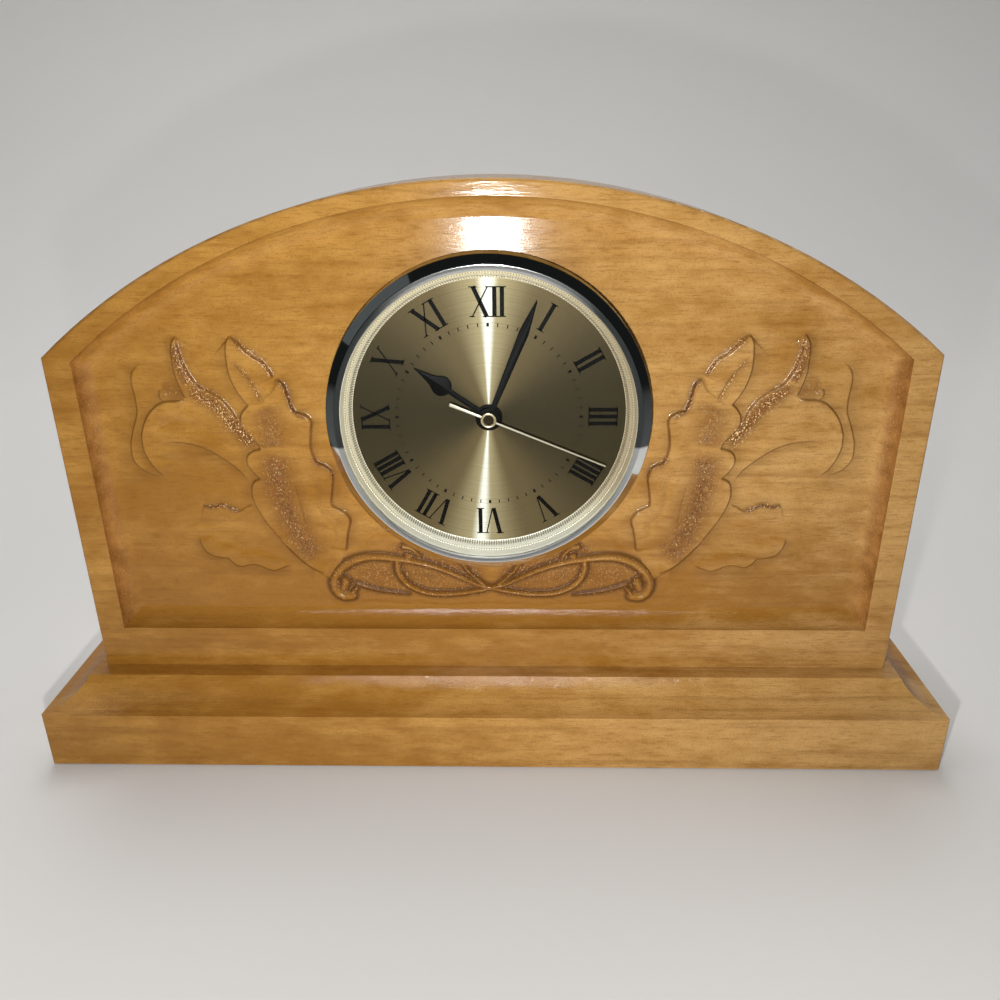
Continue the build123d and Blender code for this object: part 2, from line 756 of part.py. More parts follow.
# Circuit board with its chip and quartz crystal
circuit_left = -case_half + case_wall + running
circuit_right = circuit_left + circuit_width
circuit_low = well_top + loose
circuit_high = cover_posts[0][1] - 2 * post_radius - loose
circuit_front = stator_front
circuit_back = circuit_front + circuit_thick
circuit_posts = [(circuit_left + 1.5 * post_radius, y) for y in (circuit_low + 2 * post_radius, circuit_high - 2 * post_radius)]
with BuildPart() as circuit_board:
    add_bar(circuit_left, circuit_right, circuit_low, circuit_high, circuit_front, circuit_back)
    for post in circuit_posts:
        add_disc(post, pin_radius + press, circuit_front, circuit_back, mode=Mode.SUBTRACT)
finish(circuit_board, "circuit_board")

chip_at = ((circuit_left + circuit_right) / 2, circuit_high - 2 * board_chip_radius)
with BuildPart() as drive_chip:
    add_disc(chip_at, board_chip_radius, circuit_back, circuit_back + board_chip_height)
finish(drive_chip, "drive_chip")

crystal_plane = Plane(
    origin=(circuit_right - 2 * crystal_radius, floor_y + circuit_back + crystal_radius, dial_z + circuit_low + loose),
    x_dir=(1, 0, 0),
    z_dir=(0, 0, 1),
)
with BuildPart() as quartz_crystal:
    with BuildSketch(crystal_plane):
        Circle(crystal_radius)
    extrude(amount=crystal_length)
finish(quartz_crystal, "quartz_crystal")

# Hands and centre cap
with BuildPart() as hour_hand:
    with BuildSketch(at_depth(hour_hand_back, hour_angle)):
        Circle(hand_hub)
        with Locations((0, hour_spade_centre / 2)):
            Rectangle(hour_shaft, hour_spade_centre)
        with Locations((0, hour_spade_centre)):
            Circle(hour_spade)
        with BuildLine():
            flank = Spline(
                (hour_spade * math.cos(math.radians(40)), hour_spade_centre + hour_spade * math.sin(math.radians(40))),
                (hour_shaft / 2, hour_hand_length - hour_spade),
                (hand_tip / 2, hour_hand_length),
                tangents=[(-0.64, 0.77), (0, 1)],
            )
            mirror(flank, about=Plane.YZ)
            Line((-hand_tip / 2, hour_hand_length), (hand_tip / 2, hour_hand_length))
            Line(flank @ 0, (-(flank @ 0).X, (flank @ 0).Y))
        make_face()
        Circle(hour_tube + press, mode=Mode.SUBTRACT)
    extrude(amount=hand_thick)
finish(hour_hand, "hour_hand")

with BuildPart() as minute_hand:
    with BuildSketch(at_depth(minute_hand_back, minute_angle)):
        Circle(minute_hub)
        with BuildLine():
            Polyline(
                (-hand_tip / 2, minute_hand_length),
                (-minute_widest / 2, minute_shoulder),
                (-minute_shaft / 2, 0),
                (minute_shaft / 2, 0),
                (minute_widest / 2, minute_shoulder),
                (hand_tip / 2, minute_hand_length),
                close=True,
            )
        make_face()
        Circle(minute_tube + press, mode=Mode.SUBTRACT)
    extrude(amount=hand_thick)
finish(minute_hand, "minute_hand")

with BuildPart() as second_hand:
    with BuildSketch(at_depth(second_hand_back, second_angle)):
        Circle(second_hub)
        with BuildLine():
            Polyline(
                (-hand_tip / 2, second_hand_length),
                (-second_width / 2, 0),
                (-second_tail_width / 2, -second_tail),
                (second_tail_width / 2, -second_tail),
                (second_width / 2, 0),
                (hand_tip / 2, second_hand_length),
                close=True,
            )
        make_face()
        Circle(second_arbor + press, mode=Mode.SUBTRACT)
    extrude(amount=hand_thick)
finish(second_hand, "second_hand")

with BuildPart() as centre_cap:
    add_disc(axis, cap_radius, second_hand_front - cap_height, second_hand_front)
    add_disc(axis, cap_radius - cap_height, second_hand_front - cap_height, second_hand_front - cap_height / 2, mode=Mode.SUBTRACT)
finish(centre_cap, "centre_cap")
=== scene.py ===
"""Looks of a carved wooden desk clock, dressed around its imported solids.

The face board and base keep their solids and get a lacquered wood finish. The shallow
carving, the dial print, the reeded ring, the hands and the centre cap are modelled here.
"""

import logging
import math
from dataclasses import dataclass, field
from enum import Enum
from typing import Any, Sequence

import bmesh
import bpy
import numpy as np
from bmesh.types import BMesh
from mathutils import Matrix, Vector


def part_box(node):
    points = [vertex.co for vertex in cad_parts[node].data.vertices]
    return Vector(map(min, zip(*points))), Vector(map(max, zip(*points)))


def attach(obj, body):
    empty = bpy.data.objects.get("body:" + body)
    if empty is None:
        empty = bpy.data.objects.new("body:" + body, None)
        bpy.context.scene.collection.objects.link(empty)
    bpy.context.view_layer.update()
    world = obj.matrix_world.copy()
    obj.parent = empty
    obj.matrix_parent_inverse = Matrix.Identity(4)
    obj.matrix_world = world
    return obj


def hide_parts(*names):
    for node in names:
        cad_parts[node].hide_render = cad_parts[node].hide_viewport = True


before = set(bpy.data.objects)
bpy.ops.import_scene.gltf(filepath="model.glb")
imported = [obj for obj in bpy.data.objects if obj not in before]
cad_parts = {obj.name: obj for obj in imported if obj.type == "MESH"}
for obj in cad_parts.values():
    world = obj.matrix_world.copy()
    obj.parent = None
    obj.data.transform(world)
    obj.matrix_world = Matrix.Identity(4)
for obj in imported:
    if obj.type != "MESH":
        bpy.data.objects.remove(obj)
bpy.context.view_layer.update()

LOG = logging.getLogger("desk_clock")
MM = 0.001
MIN_SPAN = 1e-9
WELD = 1e-6
RING_STEPS = 1360
CAP_STEPS = 64

Colour = tuple[float, float, float]
Place = tuple[float, float, float]
Span = tuple[float, float]
Box = tuple[float, float, float, float]
Pixels = tuple[Span, ...]


class Body(str, Enum):
    """CAD bodies that the pieces of this scene ride on."""

    CASE = "case"
    SECONDS = "seconds"
    MINUTES = "minutes"
    HOURS = "hours"


class High(Enum):
    """Which side of a carved line stands higher, seen along the line."""

    LEFT = 1.0
    RIGHT = -1.0


class Socket:
    """A node's output that takes part in Python arithmetic."""

    def __init__(self, graph: "Graph", output: bpy.types.NodeSocket) -> None:
        """Keeps the output and the graph that it belongs to."""
        self.graph = graph
        self.output = output

    def math(self, operation: str, *values: "Socket | float") -> "Socket":
        """Adds a Math node and returns its result."""
        return self.graph.node("ShaderNodeMath", {"operation": operation}, dict(enumerate(values)))

    def __add__(self, other: "Socket | float") -> "Socket":
        """Sum."""
        return self.math("ADD", self, other)

    def __radd__(self, other: float) -> "Socket":
        """Sum, reflected."""
        return self.math("ADD", other, self)

    def __sub__(self, other: "Socket | float") -> "Socket":
        """Difference."""
        return self.math("SUBTRACT", self, other)

    def __rsub__(self, other: float) -> "Socket":
        """Difference, reflected."""
        return self.math("SUBTRACT", other, self)

    def __mul__(self, other: "Socket | float") -> "Socket":
        """Product."""
        return self.math("MULTIPLY", self, other)

    def __rmul__(self, other: float) -> "Socket":
        """Product, reflected."""
        return self.math("MULTIPLY", other, self)

    def __pow__(self, other: float) -> "Socket":
        """Power."""
        return self.math("POWER", self, other)

    def __abs__(self) -> "Socket":
        """Size without sign."""
        return self.math("ABSOLUTE", self)


class Graph:
    """The node tree of one material."""

    def __init__(self, material: bpy.types.Material) -> None:
        """Empties the material's tree.

        Args:
            material: the material to fill.
        """
        material.use_nodes = True
        self.tree = material.node_tree
        self.tree.nodes.clear()

    def node(
        self,
        kind: str,
        settings: dict[str, Any] | None = None,
        sockets: dict[Any, Any] | None = None,
        output: str | int = 0,
    ) -> Socket | None:
        """Adds one node.

        Args:
            kind: the node's type.
            settings: properties, set before the sockets.
            sockets: a value or a link for each named or numbered input.
            output: the output to hand back.

        Returns:
            The wrapped output, or nothing where the node has none.
        """
        made = self.tree.nodes.new(kind)
        for key, value in (settings or {}).items():
            setattr(made, key, value)
        for key, value in (sockets or {}).items():
            if isinstance(value, Socket):
                self.tree.links.new(value.output, made.inputs[key])
            else:
                made.inputs[key].default_value = value
        return Socket(self, made.outputs[output]) if made.outputs else None

    def place(self) -> Socket:
        """The surface point in object coordinates, in metres."""
        return self.node("ShaderNodeTexCoord", output="Object")

    def mapped(self, scale: Sequence[float], shift: Sequence[float] = (0, 0, 0)) -> Socket:
        """The surface point after a shift and a stretch.

        Args:
            scale: the stretch per axis.
            shift: the shift per axis.

        Returns:
            The moved point.
        """
        settings = {"vector_type": "POINT"}
        sockets = {"Vector": self.place(), "Location": tuple(shift), "Scale": tuple(scale)}
        return self.node("ShaderNodeMapping", settings, sockets)

    def split(self, vector: Socket) -> tuple[Socket, Socket, Socket]:
        """The three components of a vector.

        Args:
            vector: what to take apart.

        Returns:
            Its x, y and z.
        """
        made = self.node("ShaderNodeSeparateXYZ", None, {0: vector})
        outputs = made.output.node.outputs
        return tuple(Socket(self, outputs[axis]) for axis in range(3))

    def about(self, centre: Sequence[float]) -> tuple[Socket, Socket, Socket]:
        """The surface point's components, measured from a centre."""
        return self.split(self.mapped((1, 1, 1), [-part for part in centre]))

    def reach(self, first: Socket, second: Socket) -> Socket:
        """The length of a leg pair, kept just above nothing."""
        return (first * first + second * second + MIN_SPAN) ** 0.5

    def noise(self, scale: float | Place, detail: float = 2.0, roughness: float = 0.6) -> Socket:
        """Noise over object coordinates, with one scale or a scale per axis.

        Args:
            scale: waves per metre.
            detail: how many finer layers.
            roughness: how strong they are.

        Returns:
            A value round 0.5.
        """
        scales = scale if isinstance(scale, tuple) else (scale,) * 3
        sockets = {"Vector": self.mapped(scales), "Scale": 1.0, "Detail": detail, "Roughness": roughness}
        return self.node("ShaderNodeTexNoise", {"noise_dimensions": "3D"}, sockets)

    def ramp(self, value: Socket, low: float, high: float) -> Socket:
        """A smooth step of a value from 0 at low to 1 at high."""
        settings = {"interpolation_type": "SMOOTHSTEP"}
        return self.node("ShaderNodeMapRange", settings, {0: value, 1: low, 2: high})

    def mix(self, share: Socket | float, first: Socket | Colour, second: Socket | Colour) -> Socket:
        """A colour between two colours.

        Args:
            share: how much of the second.
            first: the colour at 0.
            second: the colour at 1.

        Returns:
            The mixed colour.
        """

        def full(colour: Socket | Colour) -> Socket | tuple[float, ...]:
            """Adds alpha to a plain colour."""
            return colour if isinstance(colour, Socket) else (*colour, 1.0)

        sockets = {0: share, 6: full(first), 7: full(second)}
        return self.node("ShaderNodeMix", {"data_type": "RGBA"}, sockets, output=2)

    def bump(self, height: Socket, distance: float) -> Socket:
        """A surface normal from a height field."""
        sockets = {"Height": height, "Distance": distance, "Strength": 1.0}
        return self.node("ShaderNodeBump", None, sockets)

    def principled(
        self,
        colour: Socket,
        roughness: Socket | float,
        metallic: float = 0.0,
        specular: float = 0.5,
        normal: Socket | None = None,
    ) -> Socket:
        """A Principled shader.

        Args:
            colour: the base colour.
            roughness: how blurred its reflections are.
            metallic: how metallic it is.
            specular: how strong the reflections of a non-metal are.
            normal: the bumped normal, if it has one.

        Returns:
            The shader.
        """
        sockets = {"Base Color": colour, "Roughness": roughness, "Metallic": metallic}
        sockets["Specular IOR Level"] = specular
        if normal is not None:
            sockets["Normal"] = normal
        return self.node("ShaderNodeBsdfPrincipled", None, sockets)

    def output(self, surface: Socket) -> None:
        """Joins a shader to the material output."""
        self.node("ShaderNodeOutputMaterial", None, {"Surface": surface})


@dataclass(frozen=True)
class Finish:
    """A named surface finish that makes its material once."""

    name: str

    def paint(self, graph: Graph) -> Socket:
        """Builds the finish's shader.

        Args:
            graph: the material's node tree.

        Returns:
            The shader.
        """
        raise NotImplementedError

    def material(self) -> bpy.types.Material:
        """The finish's material, made at its first use.

        Returns:
            The material.
        """
        title = f"finish_{self.name}"
        made = bpy.data.materials.get(title)
        if made is None:
            made = bpy.data.materials.new(title)
            graph = Graph(made)
            graph.output(self.paint(graph))
        return made


@dataclass(frozen=True)
class LacqueredWood(Finish):
    """Honey-coloured hardwood with its grain along the clock, under a glossy lacquer."""

    pale: Colour = (0.605, 0.348, 0.116)
    warm: Colour = (0.575, 0.300, 0.066)
    honey: Colour = (0.345, 0.152, 0.022)
    brown: Colour = (0.205, 0.078, 0.010)
    end_dark: Colour = (0.20, 0.075, 0.014)
    end_light: Colour = (0.47, 0.215, 0.055)
    cut_dark: Colour = (0.115, 0.040, 0.008)
    cut_light: Colour = (0.27, 0.106, 0.020)
    # Colour of the stain with painted shade in the carved lines.
    stain_and_shade: Colour = (0.080, 0.027, 0.004)
    # Colour of the painted glints.
    glint: Colour = (0.95, 0.62, 0.28)
    # Depths and heights over which the recess floor gets painted shade.
    painted_shade_depths: Span = (-10.0 * MM, -6.5 * MM)
    painted_shade_heights: Span = (115.0 * MM, 45.0 * MM)
    sides: Span = (-110.0 * MM, 110.0 * MM)
    end_range: Span = (0.30, 0.85)
    ledge_range: Span = (0.15, 0.50)
    figure_range: Span = (0.34, 0.66)
    streak_range: Span = (0.46, 0.78)
    pore_range: Span = (0.50, 0.74)
    speck_range: Span = (0.48, 0.70)
    texture_range: Span = (0.42, 0.60)
    smooth_range: Span = (0.30, 0.70)
    ragged_range: Span = (0.24, 0.52)
    spark_range: Span = (0.64, 0.72)
    relief: float = 0.16 * MM

    def paint(self, graph: Graph) -> Socket:
        """Grain, pores, end grain on cuts across the fibres, stain with painted shade in the carved lines,
        painted shade low in the recess and painted glints.

        Args:
            graph: the material's node tree.

        Returns:
            The shader.
        """
        figure = graph.noise((5.0, 38.0, 30.0), 3.0, 0.55)
        mottle = graph.noise((75.0, 170.0, 170.0), 3.0)
        streak = graph.noise((16.0, 520.0, 420.0), 3.0)
        pore = graph.noise((230.0, 2300.0, 2000.0))
        speck = graph.noise(2100.0, roughness=0.7)
        blotch = graph.noise(420.0)
        bead = graph.noise(2200.0, 1.0, 0.5)

        facing = graph.split(graph.node("ShaderNodeNewGeometry", output="Normal"))
        across = graph.ramp(abs(facing[0]), *self.end_range)
        carved, stained_and_shaded, glinting = (
            graph.node("ShaderNodeAttribute", {"attribute_name": name}, output="Fac")
            for name in ("cut", "stain_and_shade", "glint")
        )
        rough = across.math("MAXIMUM", across, carved)
        ledge = graph.ramp(facing[2], *self.ledge_range)

        along_x, depth, height = graph.split(graph.place())
        # Painted shade: the recess floor is darkened towards its foot.
        sunk = graph.ramp(depth, *self.painted_shade_depths) * graph.ramp(height, *self.painted_shade_heights)
        lighter = along_x * 0.45 - sunk * 0.12
        light = graph.mix(graph.ramp(along_x, *self.sides), self.warm, self.pale)
        clouds = graph.ramp(figure * 0.6 + mottle * 0.4 + lighter, *self.figure_range)
        plain = graph.mix(clouds, self.honey, light)
        grained = graph.mix(graph.ramp(streak, *self.streak_range) * 0.40, plain, self.brown)
        pored = graph.mix(graph.ramp(pore, *self.pore_range) * 0.40, grained, self.brown)
        stippled = graph.mix(graph.ramp(speck, *self.speck_range) * 0.30, pored, self.brown)
        texture = graph.ramp(speck * 0.6 + blotch * 0.4, *self.texture_range)
        smooth = graph.ramp(speck * 0.4 + mottle * 0.6, *self.smooth_range)
        ended = graph.mix(across * 0.85, stippled, graph.mix(smooth, self.end_dark, self.end_light))
        ragged = carved * graph.ramp(blotch * 0.6 + mottle * 0.4, *self.ragged_range)
        opened = graph.mix(ragged * 0.95, ended, graph.mix(texture, self.cut_dark, self.cut_light))
        # Stain with painted shade: dark lines at the carved steps, soft shade at their feet and in the
        # trenches by the straps.
        lined = graph.mix(stained_and_shaded * 0.85, opened, self.stain_and_shade)
        # Painted glints: pale specks stand for the lamp sparkling on cut end grain and on the strap crowns.
        sparks = graph.ramp(bead + glinting * 0.05, *self.spark_range) * (glinting + across * 0.3)
        colour = graph.mix(sparks, lined, self.glint)

        chips = speck * 0.8 + blotch * 0.9
        height_field = streak * 0.20 + pore * 0.14 + speck * 0.05 + (rough * chips + ledge * chips)
        roughness = 0.10 + rough * 0.20 + (1.0 - pore) * 0.05
        normal = graph.bump(height_field, self.relief)
        return graph.principled(colour, roughness, specular=0.30, normal=normal)


@dataclass(frozen=True)
class BrushedDial(Finish):
    """Satin champagne metal, spun in fine circles, with a painted sheen that fans out above and below the
    centre.
    """

    centre: Place = (0.0, 0.0, 0.0)
    shade: Colour = (0.038, 0.029, 0.012)
    gold: Colour = (0.138, 0.099, 0.044)
    sheen: Colour = (0.44, 0.36, 0.20)
    glare: Colour = (1.0, 0.97, 0.88)
    lean: float = 0.075
    circles: float = 2600.0
    wide_fan: Span = (-0.05, 0.62)
    narrow_fan: Span = (0.60, 1.0)
    core_fan: Span = (0.91, 0.99)
    groove_range: Span = (0.42, 0.75)

    def paint(self, graph: Graph) -> Socket:
        """Three painted fans of light, each narrower than the last, over fine circles.

        Args:
            graph: the material's node tree.

        Returns:
            The shader.
        """
        x, _, z = graph.about(self.centre)
        radius = graph.reach(x, z)
        below = z.math("MAXIMUM", z * -1.0, 0.0)
        leaning = abs(x + below * self.lean)
        along = 1.0 - leaning.math("DIVIDE", leaning, radius)
        # Painted reflection of the lamp: dark at the sides, brightening in three fans above and below the
        # centre.
        wide = graph.mix(graph.ramp(along, *self.wide_fan), self.shade, self.gold)
        narrow = graph.mix(graph.ramp(along, *self.narrow_fan), wide, self.sheen)
        core = graph.mix(graph.ramp(along, *self.core_fan), narrow, self.glare)
        spun = {"W": radius * self.circles, "Scale": 1.0}
        circle = graph.node("ShaderNodeTexNoise", {"noise_dimensions": "1D"}, spun)
        colour = graph.mix(graph.ramp(circle, *self.groove_range) * 0.22, core, self.shade)
        wander = graph.noise(900.0)
        return graph.principled(colour, 0.46 + wander * 0.1, metallic=0.1, specular=0.12)


@dataclass(frozen=True)
class Metal(Finish):
    """Plated or polished metal with a slight wear in its gloss."""

    colour: Colour = (0.6, 0.6, 0.6)
    worn: Colour = (0.5, 0.5, 0.5)
    roughness: float = 0.2
    grain: float = 300.0
    relief: float = 0.000004
    metallic: float = 1.0

    def paint(self, graph: Graph) -> Socket:
        """Even metal with faint clouding.

        Args:
            graph: the material's node tree.

        Returns:
            The shader.
        """
        cloud = graph.noise(self.grain, 3.0)
        colour = graph.mix(graph.ramp(cloud, 0.35, 0.65), self.colour, self.worn)
        roughness = self.roughness * 0.8 + cloud * (self.roughness * 0.4)
        return graph.principled(colour, roughness, self.metallic, normal=graph.bump(cloud, self.relief))


@dataclass(frozen=True)
class ChromeWithPaintedReflection(Finish):
    """Polished chrome with a painted reflection: dark round the dial's upper part and bright below."""

    centre: Place = (0.0, 0.0, 0.0)
    lip: float = 45.0 * MM
    lip_blend: float = 0.1 * MM
    change: float = -7.6 * MM
    change_blend: float = 0.5 * MM
    over: Span = (30 * MM, 43 * MM)
    dark: Colour = (0.115, 0.130, 0.130)
    bright: Colour = (0.93, 0.95, 0.94)

    def paint(self, graph: Graph) -> Socket:
        """Mirror-like bevel, with a softer lip inside it, under a painted reflection.

        Args:
            graph: the material's node tree.

        Returns:
            The shader.
        """
        x, _, z = graph.about(self.centre)
        inside = graph.ramp(graph.reach(x, z), self.lip + self.lip_blend, self.lip - self.lip_blend)
        lower = graph.ramp(z, self.change + self.change_blend, self.change - self.change_blend)
        cloud = graph.noise(150.0)
        # Painted reflection: dark above the change line and bright below it; the lip is also painted
        # brighter near the top, as a painted highlight.
        shine = inside.math("MAXIMUM", inside * graph.ramp(z, *self.over) * 0.6, lower)
        colour = graph.mix(shine, self.dark, self.bright)
        return graph.principled(colour, 0.04 + cloud * 0.02 + inside * 0.07, metallic=1.0)


@dataclass(frozen=True)
class GiltWithPaintedHollowShade(Finish):
    """Gilt rim round a hollow with painted shade."""

    centre: Place = (0.0, 0.0, 0.0)
    hollow: float = 1.6 * MM
    blend: float = 0.1 * MM
    dark: Colour = (0.055, 0.040, 0.022)
    gilt: Colour = (0.83, 0.68, 0.42)

    def paint(self, graph: Graph) -> Socket:
        """Paints shade inside the rim.

        Args:
            graph: the material's node tree.

        Returns:
            The shader.
        """
        x, _, z = graph.about(self.centre)
        # Painted shade: the hollow inside the rim is coloured dark.
        rim = graph.ramp(graph.reach(x, z), self.hollow - self.blend, self.hollow + self.blend)
        cloud = graph.noise(700.0)
        return graph.principled(graph.mix(rim, self.dark, self.gilt), 0.18 + cloud * 0.10, metallic=0.9)


@dataclass(frozen=True)
class ReededGilt(Finish):
    """Pale gilt, with painted shade in the gaps between the reeds round the dial."""

    centre: Place = (0.0, 0.0, 0.0)
    gilt: Colour = (0.95, 0.86, 0.66)
    lit: Colour = (1.0, 0.97, 0.86)
    shade: Colour = (0.52, 0.39, 0.23)
    gap: Colour = (0.26, 0.19, 0.10)
    reeds: int = 340
    zones: tuple[Span, ...] = ()
    zone_blend: float = 0.02 * MM
    shaded_from: Span = (5 * MM, 42 * MM)
    shaded_above: Span = (-38 * MM, -15 * MM)
    lit_below: Span = (-22 * MM, -42 * MM)

    def paint(self, graph: Graph) -> Socket:
        """Gilt with painted shade on the right and between the reeds, and a painted highlight at the foot.

        Args:
            graph: the material's node tree.

        Returns:
            The shader.
        """
        x, _, z = graph.about(self.centre)
        radius = graph.reach(x, z)
        angle = x.math("ARCTAN2", z, x) * self.reeds
        # Painted shade in the gaps between the reeds.
        valley = graph.ramp(angle.math("COSINE", angle), 0.1, -0.9)
        zone = None
        for low, high in self.zones:
            past = graph.ramp(radius, low, low + self.zone_blend)
            band = past * graph.ramp(radius, high, high - self.zone_blend)
            zone = band if zone is None else zone + band
        cloud = graph.noise(500.0)
        # Painted shade on the right and a painted highlight at the foot.
        right = graph.ramp(x, *self.shaded_from) * graph.ramp(z, *self.shaded_above)
        shaded = graph.mix(right * 0.65, self.gilt, self.shade)
        tinted = graph.mix(graph.ramp(z, *self.lit_below), shaded, self.lit)
        colour = graph.mix(valley * zone * 0.9, tinted, self.gap)
        return graph.principled(colour, 0.28 + cloud * 0.14, metallic=0.2)


@dataclass(frozen=True)
class Plastic(Finish):
    """Moulded plastic, resin, rubber or ink with a fine texture."""

    colour: Colour = (0.1, 0.1, 0.1)
    light: Colour = (0.13, 0.13, 0.13)
    roughness: float = 0.45
    grain: float = 1800.0
    relief: float = 0.00003
    gloss: float = 0.5
    clouds: float = 60.0

    def paint(self, graph: Graph) -> Socket:
        """Even plastic with a faint moulded grain.

        Args:
            graph: the material's node tree.

        Returns:
            The shader.
        """
        speck = graph.noise(self.grain)
        cloud = graph.noise(self.clouds, roughness=0.5)
        colour = graph.mix(graph.ramp(cloud, 0.3, 0.7), self.colour, self.light)
        normal = graph.bump(speck, self.relief)
        return graph.principled(colour, self.roughness + speck * 0.12, specular=self.gloss, normal=normal)


@dataclass(frozen=True)
class WoundWire(Finish):
    """Enamelled wire, wound in close turns along the coil."""

    colour: Colour = (0.62, 0.24, 0.09)
    gap: Colour = (0.22, 0.07, 0.02)
    pitch: float = 0.22 * MM
    relief: float = 0.05 * MM

    def paint(self, graph: Graph) -> Socket:
        """Turns side by side along the coil's length, with painted shade between them.

        Args:
            graph: the material's node tree.

        Returns:
            The shader.
        """
        x, _, _ = graph.split(graph.place())
        angle = x * (2 * math.pi / self.pitch)
        turn = angle.math("SINE", angle) * 0.5 + 0.5
        # Painted shade: the gap colour darkens the wire between the turns.
        colour = graph.mix(turn, self.gap, self.colour)
        roughness = 0.35 + (1.0 - turn) * 0.2
        return graph.principled(colour, roughness, 0.7, normal=graph.bump(turn, self.relief))


@dataclass(frozen=True)
class ClearGlass(Finish):
    """Thin flat glass: clear, with a reflection that grows at a grazing view."""

    index: float = 1.10
    tint: Colour = (0.97, 0.98, 0.97)
    blur: float = 0.02

    def paint(self, graph: Graph) -> Socket:
        """Clear glass under a faint gloss.

        Args:
            graph: the material's node tree.

        Returns:
            The shader.
        """
        clear = graph.node("ShaderNodeBsdfTransparent", None, {"Color": (*self.tint, 1.0)})
        gloss = graph.node("ShaderNodeBsdfGlossy", None, {"Roughness": self.blur})
        edge = graph.node("ShaderNodeFresnel", None, {"IOR": self.index})
        return graph.node("ShaderNodeMixShader", None, {0: edge, 1: clear, 2: gloss})


@dataclass(frozen=True)
class StudioPaper(Finish):
    """Matt pale paper for the floor and the wall, with painted shade under the lamp that hangs low in
    front.
    """

    colour: Colour = (0.74, 0.73, 0.71)
    painted_shade_grey: Colour = (0.43, 0.425, 0.415)
    under: Place = (-0.006, -0.165, 0.0)
    reach: float = 0.19

    def paint(self, graph: Graph) -> Socket:
        """Paper with a hint of tooth, painted greyer under the low lamp.

        Args:
            graph: the material's node tree.

        Returns:
            The shader.
        """
        tooth = graph.noise(9.0, roughness=0.5)
        darker = tuple(0.97 * part for part in self.colour)
        x, y, _ = graph.about(self.under)
        # Painted shade: the paper is greyer close under the low lamp in front.
        close = graph.ramp(graph.reach(x, y), self.reach, 0.0)
        paper = graph.mix(close, graph.mix(tooth, darker, self.colour), self.painted_shade_grey)
        return graph.principled(paper, 0.85)


def smoothstep(low: float, high: float, value: np.ndarray) -> np.ndarray:
    """A smooth step of an array from 0 at low to 1 at high."""
    share = np.clip((value - low) / (high - low), 0.0, 1.0)
    return share * share * (3.0 - 2.0 * share)


def finish_mesh(
    mesh: BMesh,
    name: str,
    finish: Finish,
    body: Body,
    replaced: Sequence[str] = (),
    crease: float = math.radians(38),
) -> bpy.types.Object:
    """Turns a bmesh into a dressed piece that rides on a body.

    Args:
        mesh: the finished shape, in metres in the part's frame; it is freed.
        name: the piece's name.
        finish: its finish.
        body: the body that it moves with.
        replaced: CAD nodes that it stands for.
        crease: edges that turn more than this angle stay sharp.

    Returns:
        The new object.
    """
    data = bpy.data.meshes.new(name)
    for face in mesh.faces:
        face.smooth = True
    for edge in mesh.edges:
        edge.smooth = not edge.is_manifold or edge.calc_face_angle() < crease
    mesh.to_mesh(data)
    mesh.free()
    piece = bpy.data.objects.new(name, data)
    bpy.context.scene.collection.objects.link(piece)
    data.materials.append(finish.material())
    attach(piece, body.value)
    if replaced:
        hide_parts(*replaced)
    LOG.info("%s rides on %s: %d faces", name, body.value, len(data.polygons))
    return piece


@dataclass(frozen=True)
class Viewpoint:
    """The photograph's camera: it frames the render and places the carved lines."""

    place: Place = (0.009024, -0.25152, 0.186957)
    turn: float = -0.0243
    tilt: float = 0.4003
    roll: float = -0.0091
    focal_pixels: float = 862.23
    image_pixels: float = 1000.0
    sensor_mm: float = 36.0

    def axes(self) -> tuple[Vector, Vector, Vector]:
        """The camera's right, up and forward directions.

        Returns:
            Three unit vectors.
        """
        flat = math.cos(self.tilt)
        forward = Vector((math.sin(self.turn) * flat, math.cos(self.turn) * flat, -math.sin(self.tilt)))
        level = Vector((math.cos(self.turn), -math.sin(self.turn), 0.0))
        rise = level.cross(forward)
        right = math.cos(self.roll) * level + math.sin(self.roll) * rise
        up = math.cos(self.roll) * rise - math.sin(self.roll) * level
        return right, up, forward

    def on_plane(self, pixels: Pixels, depth: float) -> np.ndarray:
        """Carries pixels of the photograph onto an upright plane.

        Args:
            pixels: columns and rows in the photograph.
            depth: the plane's y, in metres.

        Returns:
            One row of x and z, in metres, per pixel.
        """
        right, up, forward = self.axes()
        origin = Vector(self.place)
        half = self.image_pixels / 2
        spots = []
        for column, row in pixels:
            across = (column - half) / self.focal_pixels
            down = (row - half) / self.focal_pixels
            ray = forward + across * right - down * up
            spot = origin + ray * ((depth - origin.y) / ray.y)
            spots.append((spot.x, spot.z))
        return np.array(spots)

    def build(self) -> None:
        """Adds the camera to the scene."""
        right, up, forward = self.axes()
        lens = bpy.data.cameras.new("camera")
        lens.sensor_fit = "HORIZONTAL"
        lens.sensor_width = self.sensor_mm
        lens.lens = self.focal_pixels / self.image_pixels * self.sensor_mm
        lens.clip_start = 0.01
        camera = bpy.data.objects.new("camera", lens)
        facing = Matrix((right, up, -forward)).transposed().to_4x4()
        camera.matrix_world = Matrix.Translation(self.place) @ facing
        bpy.context.scene.collection.objects.link(camera)
        bpy.context.scene.camera = camera


